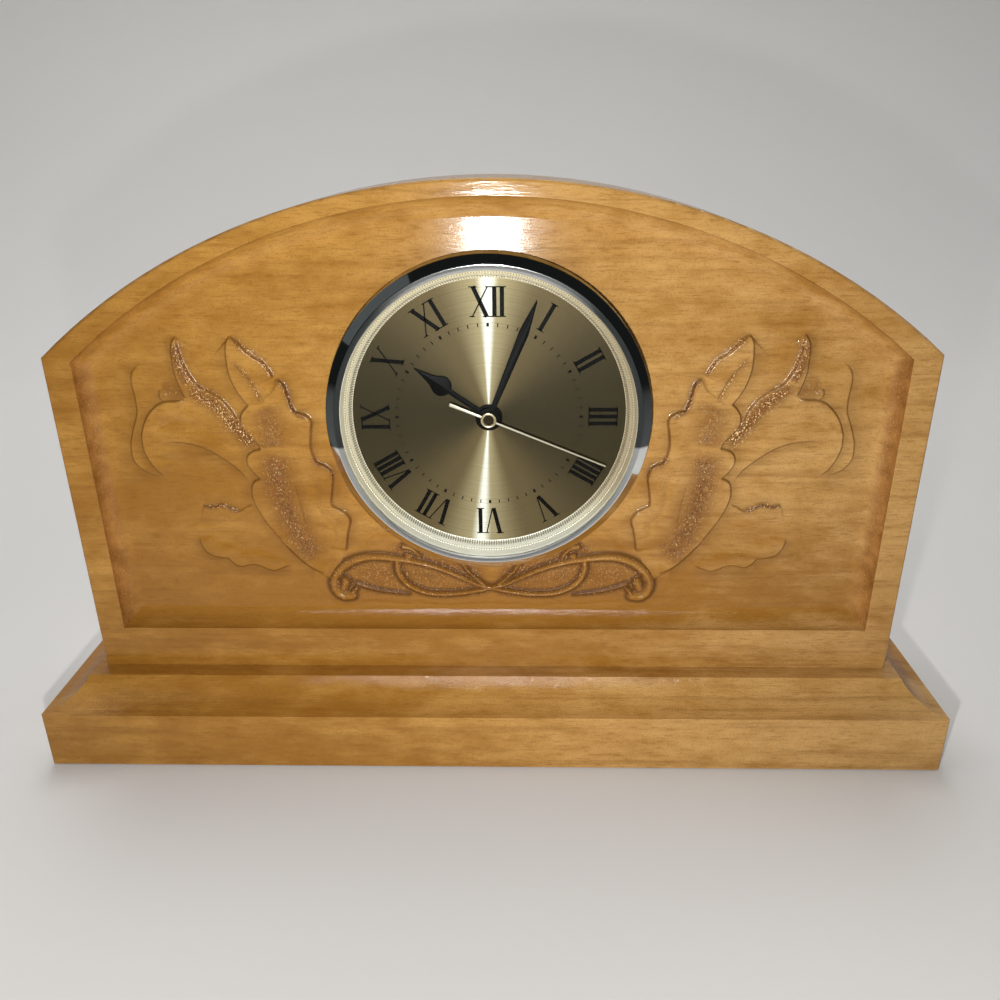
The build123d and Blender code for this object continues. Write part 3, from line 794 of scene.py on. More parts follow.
def curve_through(points: np.ndarray, steps: int = 6) -> np.ndarray:
    """A smooth open curve through points, as a finer row of points.

    Args:
        points: rows of x and z to pass through.
        steps: spans per gap between two points.

    Returns:
        Rows of x and z along the curve.
    """
    padded = np.vstack((2 * points[0] - points[1], points, 2 * points[-1] - points[-2]))
    shares = np.linspace(0.0, 1.0, steps, endpoint=False)[:, None]
    spans = []
    for before, start, end, after in zip(padded, padded[1:], padded[2:], padded[3:]):
        slope_in = (end - before) / 2
        slope_out = (after - start) / 2
        cubic = 2 * start - 2 * end + slope_in + slope_out
        square = 3 * end - 3 * start - 2 * slope_in - slope_out
        spans.append(start + shares * (slope_in + shares * (square + shares * cubic)))
    return np.vstack((*spans, points[-1:]))


@dataclass(frozen=True)
class Reading:
    """How points lie beside a curve: distance, signed side and share of its length."""

    distance: np.ndarray
    side: np.ndarray
    along: np.ndarray


def read_curve(curve: np.ndarray, points: np.ndarray) -> Reading:
    """Measures points against a curve.

    Args:
        curve: rows of x and z along the curve.
        points: rows of x and z to measure.

    Returns:
        The reading; side is positive on the left of the curve.
    """
    lengths = np.linalg.norm(np.diff(curve, axis=0), axis=1)
    starts = np.concatenate(([0.0], np.cumsum(lengths)))
    best = np.full(len(points), np.inf)
    offset = np.zeros(len(points))
    along = np.zeros(len(points))
    tie = 1e-12
    for start, end, begun, length in zip(curve, curve[1:], starts, lengths):
        if length < MIN_SPAN:
            continue
        edge = (end - start) / length
        run = np.clip((points - start) @ edge, 0.0, length)
        gap = points - start - run[:, None] * edge
        squared = np.einsum("ij,ij->i", gap, gap)
        beside = edge[0] * gap[:, 1] - edge[1] * gap[:, 0]
        nearer = (squared < best - tie) | ((squared < best + tie) & (abs(beside) > abs(offset)))
        best[nearer] = squared[nearer]
        offset[nearer] = beside[nearer]
        along[nearer] = ((begun + run) / starts[-1])[nearer]
    return Reading(np.sqrt(best), np.sign(offset), along)


def fade_ends(reading: Reading, fade: float) -> np.ndarray:
    """A share that falls to 0 over the first and the last part of a line."""
    return smoothstep(0.0, fade, reading.along) * smoothstep(0.0, fade, 1.0 - reading.along)


@dataclass(frozen=True)
class Stroke:
    """One carved line, through pixels of the photograph in one or more runs; its sizes are in mm."""

    name: str
    runs: tuple[Pixels, ...]


@dataclass(frozen=True)
class Cliff(Stroke):
    """A step down from one side of a line, with a surface that rises towards it."""

    high: High = High.LEFT
    rise: float = 0.9
    reach: float = 8.0
    wall: float = 0.26
    fade: float = 0.06
    dark: float = 0.7
    # The foot is painted shade on the low side of the step.
    foot: float = 0.46
    foot_reach: float = 2.4
    line_shift: float = 0.4
    line_width: float = 1.3

    def carve(self, reading: Reading) -> tuple[np.ndarray, np.ndarray]:
        """Height, and stain with painted shade, that the line gives.

        Args:
            reading: points measured against the line.

        Returns:
            Height in metres and stain with painted shade from 0 to 1, per point.
        """
        inward = reading.distance / MM * reading.side * self.high.value
        ends = fade_ends(reading, self.fade)
        step = smoothstep(-self.wall, self.wall, inward)
        fall = np.exp(-((np.maximum(inward, 0.0) / self.reach) ** 2))
        # The line is stain with painted shade at the step; the foot is painted shade below it.
        line = np.exp(-(((inward / self.wall + self.line_shift) / self.line_width) ** 2))
        foot = self.foot * np.exp(-((inward / self.foot_reach) ** 2)) * (inward < 0.0)
        return self.rise * MM * step * fall * ends, self.dark * np.maximum(line, foot) * ends


@dataclass(frozen=True)
class Strap(Stroke):
    """A raised rounded strap along a line, between two half widths."""

    start_half: float = 1.0
    end_half: float = 1.0
    rise: float = 1.6
    dark: float = 0.9
    spread: float = 0.7
    edge_shift: float = 0.25
    roundness: float = 1.6

    def carve(self, reading: Reading) -> tuple[np.ndarray, np.ndarray]:
        """Height, and stain with painted shade beside it, that the strap gives.

        Args:
            reading: points measured against the strap's middle line.

        Returns:
            Height in metres and stain from 0 to 1, per point.
        """
        distance = reading.distance / MM
        half = self.start_half + (self.end_half - self.start_half) * reading.along
        share = np.clip(distance / half, 0.0, 1.0)
        # Stain with painted shade in the trench along the strap's edges.
        edge = (distance - half) / self.spread - self.edge_shift
        return self.rise * MM * (1.0 - share**self.roundness), self.dark * np.exp(-(edge**2))


@dataclass(frozen=True)
class CutBand(Stroke):
    """A band where the chisel left open end grain."""

    half: float = 3.0
    depth: float = 0.9
    # Strength of the painted glints in the band.
    glint: float = 0.5
    fade: float = 0.15

    def roughen(self, reading: Reading) -> np.ndarray:
        """How open the grain is, from 0 to 1, per point."""
        ends = fade_ends(reading, self.fade)
        return self.depth * np.exp(-((reading.distance / MM / self.half) ** 2)) * ends


LEAF_CLIFFS = (
    Cliff("plume_left", (
        ((176, 335), (172, 345), (173, 358), (175, 372), (178.5, 382), (182.5, 391), (187, 399)),
    ), reach=5),
    Cliff("plume_right", (
        ((176, 335), (180, 352), (185, 365), (192, 377), (200, 386), (213, 393), (223, 400), (231, 409)),
        ((231, 409), (235, 415), (238, 423), (241, 431)),
    ), high=High.RIGHT, rise=0.8, reach=4, dark=0.3),
    Cliff("leaf_left", (
        ((229, 335), (226.7, 344), (226.7, 357), (229, 372), (235, 387), (241.7, 397), (248.5, 405)),
        ((248.5, 405), (243.3, 411), (240.8, 418), (242.5, 427), (250, 435), (258, 443), (261, 448.5)),
        ((261, 448.5), (252, 451.5), (248, 456.5), (249, 464), (254, 471), (261, 478)),
        ((261, 478), (255, 481), (252.5, 487), (253.3, 497), (258.3, 508), (266.7, 521), (278.3, 535),
         (288.3, 547), (300, 558.3), (313.3, 568.3), (333, 579)),
    ), reach=7, fade=0.03),
    Cliff("leaf_right_top", (
        ((229, 335), (236.7, 341.7), (243.3, 347.5), (251.7, 355), (261.7, 361), (269, 370), (274, 378)),
    ), high=High.RIGHT, rise=1.0, reach=6, wall=0.4, fade=0.05, dark=0.4),
    Cliff("leaf_right", (
        ((274, 378), (281, 381.5), (285, 387), (287.5, 395), (291, 405), (295, 411.7)),
        ((295, 411.7), (302, 413), (308.5, 416.5), (311.7, 422), (311, 433), (311, 445), (313.5, 455),
         (317.5, 462.5)),
        ((317.5, 462.5), (325, 465), (331, 470), (333.3, 478.5), (332.5, 490), (331.7, 500),
         (333, 505.5)),
        ((333, 505.5), (341.7, 509.5), (347.5, 514), (350.8, 520.5), (348.5, 532), (346.7, 552)),
    ), high=High.RIGHT, rise=1.0, reach=6, wall=0.4, fade=0.03, dark=0.62),
    Cliff("stem_inner", (
        ((279, 537), (288.3, 545), (300, 556), (311.7, 565), (326, 572)),
    ), rise=0.4, reach=2, dark=0.7),
    Cliff("curl_crease", (
        ((156, 443), (175, 441.7), (193.3, 444), (210, 450), (226.7, 460), (240, 470), (248.3, 480),
         (252.5, 490)),
    ), rise=0.6, reach=6, fade=0.25, dark=0.75),
    Cliff("curl_inner", (
        ((186, 399), (176, 401), (166, 401.5), (157.5, 405), (150, 413), (145, 423), (142.5, 435)),
        ((142.5, 435), (144, 447), (149, 458), (156.7, 468), (167, 477.5)),
    ), rise=0.7, reach=8, fade=0.08),
    Cliff("knob", (
        ((161, 389), (159.5, 393), (160.5, 398), (166, 401.5)),
    ), rise=0.5, reach=3, fade=0.2, dark=0.7),
    Cliff("curl_outer", (
        ((141, 362), (133, 371), (131.7, 382), (135.5, 398), (137.5, 413), (134, 428), (131.3, 443)),
        ((131.3, 443), (133.3, 457), (138.5, 465), (148.5, 472), (167, 477.5)),
    ), rise=0.5, reach=4, fade=0.12, dark=0.6),
    Cliff("vein", (
        ((232, 358), (243.3, 371), (251.7, 380), (258.3, 391.7), (266, 403)),
    ), rise=0.35, reach=3, fade=0.2, dark=0.35),
    Cliff("low_vein", (
        ((293, 480), (300, 500), (303.5, 515), (308, 530)),
    ), high=High.RIGHT, rise=0.3, reach=3, fade=0.25, dark=0.45),
    Cliff("low_leaf", (
        ((199, 536), (204, 547.5), (211, 554), (220, 556.7), (229, 557.5)),
        ((229, 557.5), (235, 563.3), (242, 566), (252, 564), (260, 565), (268, 568.3), (275, 570)),
        ((275, 570), (282.5, 567.5), (292, 563.5)),
    ), rise=0.5, reach=6, dark=0.7),
    Cliff("low_leaf_top", (
        ((203, 504), (213, 506.7), (223, 505), (231, 507.5), (239, 511), (247, 506.7), (254, 504)),
    ), high=High.RIGHT, rise=0.45, reach=5, dark=0.5),
)

LEAF_CUTS = (
    CutBand("plume_top_cut", (
        ((176, 340), (178, 356), (184, 372), (192, 386)),
    ), half=1.8, depth=1.0, glint=1.1),
    CutBand("plume_cut", (
        ((188, 380), (198, 392), (212, 402), (225, 414), (238, 430), (250, 441), (260, 448)),
    ), half=2.7, depth=1.0, glint=1.2),
    CutBand("leaf_upper_cut", (((262, 404), (267, 415), (271, 430), (275, 450)),), half=5.0, depth=0.75),
    CutBand("leaf_cut", (
        ((274, 445), (277, 470), (281, 490), (288, 511), (298, 531), (311, 548), (324, 562)),
    ), half=4.8, depth=1.0),
    CutBand("vein_cut", (
        ((232, 358), (246, 374), (256, 390), (264, 404)),
    ), half=1.1, depth=0.5, glint=1.8),
    CutBand("upper_edge_cut", (
        ((230, 336), (244, 348), (262, 361), (274, 378)),
    ), half=1.2, depth=0.5, glint=1.8),
    CutBand("right_edge_cut", (
        ((275, 379), (286, 388), (291, 405), (297, 413), (311, 419)),
    ), half=0.9, glint=0.7),
    CutBand("lobe_edge_cut", (((312, 455), (318, 463), (331, 469), (333, 480)),), half=0.9, depth=0.7),
    CutBand("knob_cut", (((160, 386), (172, 390), (188, 397)),), half=2.6, depth=0.6),
    CutBand("low_cut", (
        ((202, 505), (213, 506.5), (223, 505), (232, 508), (242, 511)),
    ), half=0.9, glint=0.9),
)

SCROLL_STRAPS = (
    Strap("upper_strap", (
        ((491, 586), (505, 583), (519, 577), (533, 571), (549, 565.5), (567, 561), (588, 558),
         (606, 556.5), (621, 558), (634, 563), (644, 571), (649, 580.5), (647, 590), (640, 595.5),
         (632, 595)),
    ), start_half=0.7, end_half=1.9),
    Strap("lower_strap", (
        ((491, 586.5), (505, 589.5), (520, 591.8), (535, 593), (552, 592.5), (565, 589), (575, 583.5),
         (581.5, 576), (584.5, 568), (584.5, 561)),
    ), start_half=0.9, end_half=1.3, rise=1.4),
    Strap("volute_ball", (((637, 581), (639, 587)),), start_half=1.8, end_half=1.6, rise=2.0),
    Strap("volute_foot", (((627, 588), (631, 593)),), start_half=0.8, end_half=1.0, rise=1.5),
    Strap("small_curl", (((578, 546), (571, 547.5), (565, 552), (562, 557)),), end_half=0.7, rise=1.3),
    Strap("small_ball", (((572, 555), (574, 555.5)),), start_half=1.2, end_half=1.2, rise=1.5),
    Strap("low_tail", (
        ((574, 593.5), (590, 592), (604, 590), (616, 587), (626, 583.5)),
    ), start_half=0.3, end_half=0.7, rise=0.6),
    Strap("middle_blade", (
        ((496, 585), (506, 577.5), (514, 570), (520, 562)),
    ), start_half=0.6, end_half=0.7, rise=1.0),
)

SCROLL_CUTS = (
    CutBand("ground_cut", (((491, 576), (540, 575), (590, 574), (640, 576)),), half=7.0, depth=0.6),
    CutBand("under_bezel_cut", (((491, 575), (520, 569), (548, 561), (575, 552), (600, 549)),), half=2.6),
    CutBand("strap_cut", (((491, 589), (520, 592), (548, 592.5), (570, 587)),), half=1.8, depth=0.8),
    CutBand("panel_cut", (
        ((540, 580), (560, 574), (575, 572), (600, 574), (620, 576)),
    ), half=3.2, depth=0.7),
    CutBand("tail_cut", (((575, 592), (600, 590), (626, 583)),), half=1.6, depth=0.7),
    CutBand("volute_cut", (((622, 561), (640, 570), (647, 582), (640, 592)),), half=2.6),
    CutBand("volute_eye_cut", (((628, 578), (636, 584), (634, 592)),), half=2.6),
    CutBand("curl_cut", (((560, 556), (572, 554), (582, 550)),), half=2.4, depth=0.9),
)


@dataclass
class Carving:
    """A shallow carved skin on the recess floor, from one set of strokes."""

    name: str
    view: Viewpoint
    finish: Finish
    floor_y: float
    dial_centre: Vector
    bezel_radius: float
    box: Box
    pitch: float
    cliffs: Sequence[Cliff] = ()
    straps: Sequence[Strap] = ()
    cuts: Sequence[CutBand] = ()
    mirrored: bool = False
    skin: float = 0.13 * MM
    sunk: float = 0.12 * MM
    margin: float = 7.0 * MM
    whole_share: float = 0.4
    root: float = 0.9 * MM
    overlap: Span = (0.15 * MM, 0.6 * MM)
    crown: Span = (0.3 * MM, 1.0 * MM)
    crown_clean: float = 0.75
    crown_glint: float = 0.45
    bezel_gap: Span = (-0.2 * MM, 0.9 * MM)

    def grid(self) -> BMesh:
        """A flat grid over the carving's box, facing the front.

        Returns:
            The flat grid.
        """
        low_x, high_x, low_z, high_z = (MM * edge for edge in self.box)
        pitch = MM * self.pitch
        columns = round((high_x - low_x) / pitch)
        rows = round((high_z - low_z) / pitch)
        across = ((high_x - low_x) / 2, 0, 0, (high_x + low_x) / 2)
        up = (0, (high_z - low_z) / 2, 0, (high_z + low_z) / 2)
        upright = Matrix((across, (0, 0, -1, self.floor_y), up, (0, 0, 0, 1)))
        mesh = bmesh.new()
        bmesh.ops.create_grid(mesh, x_segments=columns, y_segments=rows, size=1.0, matrix=upright)
        return mesh

    def read(self, stroke: Stroke, points: np.ndarray) -> list[Reading]:
        """Readings of a stroke, and of its mirror image where the carving has both.

        Args:
            stroke: the line to read.
            points: rows of x and z on the recess floor.

        Returns:
            One reading, or two where the carving is mirrored.
        """
        curve = np.vstack([curve_through(self.view.on_plane(run, self.floor_y)) for run in stroke.runs])
        readings = [read_curve(curve, points)]
        if self.mirrored:
            readings.append(read_curve(curve, points * np.array((-1.0, 1.0))))
        return readings

    def shape(self, points: np.ndarray) -> tuple[np.ndarray, np.ndarray, np.ndarray, np.ndarray]:
        """Works the strokes into a surface.

        Args:
            points: rows of x and z on the recess floor.

        Returns:
            Height above the floor, stain with painted shade, cut and painted glint, per point.
        """
        raised, straps, stain_and_shade, cut, glint = np.zeros((5, len(points)))
        nearest = np.full(len(points), np.inf)
        for cliff in self.cliffs:
            for reading in self.read(cliff, points):
                height, dark = cliff.carve(reading)
                raised += height
                stain_and_shade = np.maximum(stain_and_shade, dark)
                nearest = np.minimum(nearest, reading.distance)
        for strap in self.straps:
            for reading in self.read(strap, points):
                height, dark = strap.carve(reading)
                covered = smoothstep(*self.overlap, straps - height)
                lifted = smoothstep(*self.overlap, height - straps)
                stain_and_shade = np.maximum(stain_and_shade * (1.0 - lifted), dark * (1.0 - covered))
                straps = np.maximum(straps, height)
                nearest = np.minimum(nearest, reading.distance)
        for band in self.cuts:
            for reading in self.read(band, points):
                opened = band.roughen(reading)
                cut = np.maximum(cut, opened)
                glint = np.maximum(glint, opened * band.glint)
                nearest = np.minimum(nearest, np.maximum(reading.distance - band.half * MM, 0.0))
        # Strap crowns are kept clear of cut and get painted glints.
        crown = smoothstep(*self.crown, straps)
        cut = cut * (1.0 - self.crown_clean * crown)
        glint = np.maximum(glint, self.crown_glint * crown)
        mask = 1.0 - smoothstep(self.whole_share * self.margin, self.margin, nearest)
        from_axis = np.hypot(points[:, 0], points[:, 1] - self.dial_centre.z)
        clear = smoothstep(*(self.bezel_radius + gap for gap in self.bezel_gap), from_axis)
        level = (raised + straps + self.skin + self.sunk) * mask * clear - self.sunk
        return level, stain_and_shade * mask, cut * mask, glint * mask

    def build(self) -> BMesh:
        """Carves the grid and closes it behind, inside the wood.

        Returns:
            The closed skin.
        """
        mesh = self.grid()
        points = np.array([(vert.co.x, vert.co.z) for vert in mesh.verts])
        level, *tones = self.shape(points)
        layers = [mesh.verts.layers.float.new(name) for name in ("stain_and_shade", "cut", "glint")]
        for index, vert in enumerate(mesh.verts):
            vert.co.y = self.floor_y - level[index]
            for layer, tone in zip(layers, tones):
                vert[layer] = tone[index]
        limit = self.floor_y + 0.5 * self.sunk
        buried = [face for face in mesh.faces if min(vert.co.y for vert in face.verts) > limit]
        while buried:
            bmesh.ops.delete(mesh, geom=buried, context="FACES")
            pinched = [vert for vert in mesh.verts if sum(edge.is_boundary for edge in vert.link_edges) > 2]
            buried = list({face for vert in pinched for face in vert.link_faces})
        rim = [edge for edge in mesh.edges if edge.is_boundary]
        skirt = bmesh.ops.extrude_edge_only(mesh, edges=rim)["geom"]
        for vert in (part for part in skirt if isinstance(part, bmesh.types.BMVert)):
            vert.co.y = self.floor_y + self.root
        back = [part for part in skirt if isinstance(part, bmesh.types.BMEdge) and part.is_boundary]
        bmesh.ops.triangle_fill(mesh, edges=back, use_beauty=False, use_dissolve=False, normal=(0, 1, 0))
        bmesh.ops.recalc_face_normals(mesh, faces=mesh.faces)
        return mesh

    def piece(self, mesh: BMesh, name: str) -> bpy.types.Object:
        """One carved skin as a piece, smooth all over."""
        return finish_mesh(mesh, name, self.finish, Body.CASE, crease=math.pi)

    def dress(self) -> bpy.types.Object:
        """Finishes the carving."""
        return self.piece(self.build(), self.name)

    def dress_pair(self) -> list[bpy.types.Object]:
        """Finishes the carving and its mirror image on the other side of the dial.

        Returns:
            The left and the right piece.
        """
        left = self.build()
        right = left.copy()
        bmesh.ops.scale(right, vec=(-1, 1, 1), verts=right.verts)
        bmesh.ops.reverse_faces(right, faces=right.faces)
        sides = (("left", left), ("right", right))
        return [self.piece(mesh, f"{self.name}_{side}") for side, mesh in sides]


@dataclass
class Lathe:
    """Turns profiles about the dial's axis; depth grows to the back from the recess floor."""

    centre: Vector
    floor_y: float
    steps: int

    def turn(self, profile: Sequence[Span], closed: bool = True) -> BMesh:
        """Spins a profile.

        Args:
            profile: radius and depth of each corner, in millimetres.
            closed: whether the last corner joins the first.

        Returns:
            The turned shape.
        """
        mesh = bmesh.new()
        places = [(radius * MM, self.floor_y + depth * MM, self.centre.z) for radius, depth in profile]
        corners = [mesh.verts.new(place) for place in places]
        edges = [mesh.edges.new(pair) for pair in zip(corners, corners[1:])]
        if closed:
            edges.append(mesh.edges.new((corners[-1], corners[0])))
        spin = {"cent": (0, 0, self.centre.z), "axis": (0, 1, 0), "angle": 2 * math.pi}
        bmesh.ops.spin(mesh, geom=[*corners, *edges], steps=self.steps, use_merge=True, **spin)
        bmesh.ops.remove_doubles(mesh, verts=mesh.verts, dist=WELD)
        bmesh.ops.recalc_face_normals(mesh, faces=mesh.faces)
        return mesh


@dataclass
class ReededRing:
    """Gilt ring between the lens and the dial: a reeded wall, a groove and a milled bead, in mm."""

    lathe: Lathe
    inner: float
    outer: float
    opening: float
    lens_depth: float
    dial_depth: float
    seat_depth: float
    reeds: int = 340
    reed_height: float = 0.11
    seat_width: float = 0.55
    lens_gap: float = 0.05
    wall_share: Span = (0.02, 0.34)
    bead_share: Span = (0.61, 0.73)

    def profile(self) -> list[Span]:
        """Corners of the ring's section, from the dial up to the lens and round the back.

        Returns:
            Radius and depth of each corner.
        """
        drop = self.dial_depth - self.lens_depth
        run = self.opening - self.inner
        wall = [(0.00, 0.00), (0.07, 0.02), (0.30, 0.30), (0.33, 0.34)]
        groove = [(0.52, 0.42), (0.55, 0.47), (0.57, 0.44), (0.60, 0.47)]
        bead = [(0.62, 0.53), (0.66, 0.57), (0.72, 0.58), (0.76, 0.62)]
        lip = [(0.97, 0.95), (1.00, 0.99)]
        shares = wall + groove + bead + lip
        front = [(self.inner + run * share, self.dial_depth - drop * rise) for share, rise in shares]
        seat = self.inner + self.seat_width
        outside = [(self.outer, self.lens_depth + self.lens_gap), (self.outer, self.seat_depth)]
        return front + outside + [(seat, self.seat_depth), (seat, self.dial_depth)]

    def build(self) -> BMesh:
        """Turns the section and raises the reeds on its wall and bead.

        Returns:
            The reeded shape.
        """
        mesh = self.lathe.turn(self.profile())
        zones = self.zones()
        for vert in mesh.verts:
            x, z = vert.co.x, vert.co.z - self.lathe.centre.z
            radius = math.hypot(x, z)
            if any(low < radius < high for low, high in zones):
                swing = self.reed_height * MM * math.cos(self.reeds * math.atan2(z, x))
                vert.co.x += swing * x / radius
                vert.co.z += swing * z / radius
        return mesh

    def zones(self) -> tuple[Span, ...]:
        """Inner and outer radius of the reeded wall and of the milled bead, in metres.

        Returns:
            The two zones.
        """
        run = self.opening - self.inner
        shares = (self.wall_share, self.bead_share)
        return tuple(tuple((self.inner + run * share) * MM for share in ends) for ends in shares)

    def dress(self) -> bpy.types.Object:
        """Finishes the ring.

        Returns:
            The piece.
        """
        centre = tuple(self.lathe.centre)
        finish = ReededGilt("reeded_gilt", centre, reeds=self.reeds, zones=self.zones())
        return finish_mesh(self.build(), "ring_reeded", finish, Body.CASE, ("reeded_ring",))


class Stem(Enum):
    """Weights of a numeral's strokes, as widths in millimetres."""

    THICK = 1.22
    THIN = 0.38
    SERIF = 0.32


@dataclass
class DialPrint:
    """Roman numerals and a minute track, printed on the dial; sizes are in millimetres."""

    centre: Vector
    face_y: float
    ink: Finish
    inner: float = 29.5
    outer: float = 38.1
    track_inner: float = 26.8
    track_outer: float = 27.85
    minute_width: float = 0.32
    hour_width: float = 0.72
    thickness: float = 0.03
    serif_reach: float = 0.55
    letter_gap: float = 0.9
    wide_letter: float = 5.2
    crowded_gap: float = 0.55
    crowded_letter: float = 4.4

    NUMERALS = ("XII", "I", "II", "III", "IIII", "V", "VI", "VII", "VIII", "IX", "X", "XI")

    def bar(self, mesh: BMesh, start: Span, end: Span, width: float, turn: float) -> None:
        """Prints one straight stroke.

        Args:
            mesh: the print so far.
            start: across and out from the dial's centre, in millimetres, at twelve o'clock.
            end: the same, for the other end.
            width: the stroke's width, in millimetres.
            turn: the hour's angle, clockwise, in radians.
        """
        run = Vector((end[0] - start[0], 0, end[1] - start[1]))
        lean = math.atan2(run.x, run.z)
        middle = Vector(((start[0] + end[0]) / 2, 0, (start[1] + end[1]) / 2)) * MM
        size = Matrix.Diagonal((width * MM, self.thickness * MM, run.length * MM, 1.0))
        upright = Matrix.Rotation(lean, 4, "Y")
        hour = Matrix.Rotation(turn, 4, "Y")
        seat = Matrix.Translation((self.centre.x, self.face_y - self.thickness * MM / 2, self.centre.z))
        placed = seat @ hour @ Matrix.Translation(middle) @ upright @ size
        bmesh.ops.create_cube(mesh, size=1.0, matrix=placed)

    def letter(self, mesh: BMesh, kind: str, left: float, width: float, turn: float) -> None:
        """Prints one letter.

        Args:
            mesh: the print so far.
            kind: I, V or X.
            left: where the letter starts, across the numeral, in millimetres.
            width: the letter's width, in millimetres.
            turn: the hour's angle.
        """
        thick, thin, serif = Stem.THICK.value, Stem.THIN.value, Stem.SERIF.value
        low, high = self.inner, self.outer
        if kind == "I":
            middle = left + thick / 2
            self.bar(mesh, (middle, low), (middle, high), thick, turn)
            for level in (low + serif / 2, high - serif / 2):
                ends = ((left - self.serif_reach, level), (left + thick + self.serif_reach, level))
                self.bar(mesh, *ends, serif, turn)
            return
        right = left + width
        tops = ((left + thick / 2, thick), (right - thin, thin))
        if kind == "V":
            foot = (left + right) / 2
            self.bar(mesh, (left + thick / 2, high), (foot, low), thick, turn)
            self.bar(mesh, (right - thin, high), (foot + thin, low), thin, turn)
            bottoms = ()
        else:
            self.bar(mesh, (left + thick / 2, high), (right - thick / 2, low), thick, turn)
            self.bar(mesh, (right - thin, high), (left + thin, low), thin, turn)
            bottoms = ((right - thick / 2, thick), (left + thin, thin))
        for level, feet in ((high - serif / 2, tops), (low + serif / 2, bottoms)):
            for middle, stem in feet:
                reach = stem / 2 + self.serif_reach
                self.bar(mesh, (middle - reach, level), (middle + reach, level), serif, turn)

    def numeral(self, mesh: BMesh, text: str, turn: float) -> None:
        """Prints one numeral, centred on its hour; four letters stand closer together.

        Args:
            mesh: the print so far.
            text: the numeral's letters.
            turn: the hour's angle.
        """
        crowded = len(text) == 4
        gap = self.crowded_gap if crowded else self.letter_gap
        wide = self.crowded_letter if crowded else self.wide_letter
        widths = [Stem.THICK.value if kind == "I" else wide for kind in text]
        left = -(sum(widths) + gap * (len(text) - 1)) / 2
        for kind, width in zip(text, widths):
            self.letter(mesh, kind, left, width, turn)
            left += width + gap

    def dress(self) -> list[bpy.types.Object]:
        """Prints the numerals and the minute track.

        Returns:
            The two pieces.
        """
        numerals = bmesh.new()
        for hour, text in enumerate(self.NUMERALS):
            self.numeral(numerals, text, math.radians(30 * hour))
        track = bmesh.new()
        for minute in range(60):
            width = self.hour_width if minute % 5 == 0 else self.minute_width
            ends = ((0, self.track_inner), (0, self.track_outer))
            self.bar(track, *ends, width, math.radians(6 * minute))
        named = (("print_numerals", numerals), ("print_minute_track", track))
        return [finish_mesh(mesh, name, self.ink, Body.CASE) for name, mesh in named]


@dataclass
class Hand:
    """A hand cut like its solid, with its edges eased so that they catch the light."""

    node: str
    name: str
    body: Body
    slot: str
    finish: Finish
    ease: float = 0.11 * MM
    sharp: float = math.radians(50)
    flat: float = math.radians(1)

    def dress(self) -> bpy.types.Object:
        """Copies the solid's mesh, joins it up and bevels its edges.

        Returns:
            The piece.
        """
        mesh = bmesh.new()
        mesh.from_mesh(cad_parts[self.node].data)
        bmesh.ops.remove_doubles(mesh, verts=mesh.verts, dist=WELD)
        bmesh.ops.dissolve_limit(mesh, angle_limit=self.flat, verts=mesh.verts, edges=mesh.edges)
        edges = [edge for edge in mesh.edges if edge.is_manifold and edge.calc_face_angle() > self.sharp]
        kind = {"offset_type": "OFFSET", "affect": "EDGES", "clamp_overlap": True, "material": -1}
        bmesh.ops.bevel(mesh, geom=edges, offset=self.ease, segments=2, profile=0.5, **kind)
        bmesh.ops.recalc_face_normals(mesh, faces=mesh.faces)
        return finish_mesh(mesh, self.name, self.finish, self.body, (self.node,))


@dataclass
class CentreCap:
    """Small turned cap on the second hand's arbor, hollow in front; sizes are in millimetres."""

    lathe: Lathe
    finish: Finish
    radius: float
    back: float
    front: float
    set_back: float = 0.02
    floor: float = 0.18
    floor_share: float = 0.72

    def dress(self) -> bpy.types.Object:
        """Turns the cap: a hollow, a rounded rim and a straight side.

        Returns:
            The piece.
        """
        lip = self.front + self.set_back
        hollow = self.back - self.floor
        rim = ((0.76, 0.05), (0.82, 0.0), (0.90, 0.02), (0.97, 0.09), (1.0, 0.20))
        inside = [(0.0, hollow), (self.floor_share * self.radius, hollow)]
        edge = [(share * self.radius, lip + drop) for share, drop in rim]
        mesh = self.lathe.turn([*inside, *edge, (self.radius, self.back), (0.0, self.back)], closed=False)
        return finish_mesh(mesh, "cap_turned", self.finish, Body.SECONDS, ("centre_cap",))


@dataclass(frozen=True)
class Lamp:
    """A round soft lamp, in metres and watts."""

    name: str
    place: Place
    aim: Place
    size: float
    watts: float

    def build(self) -> None:
        """Hangs the lamp."""
        data = bpy.data.lights.new(self.name, "AREA")
        data.shape = "DISK"
        data.size = self.size
        data.energy = self.watts
        lamp = bpy.data.objects.new(self.name, data)
        facing = (Vector(self.aim) - Vector(self.place)).to_track_quat("-Z", "Y")
        lamp.matrix_world = Matrix.Translation(self.place) @ facing.to_matrix().to_4x4()
        bpy.context.scene.collection.objects.link(lamp)


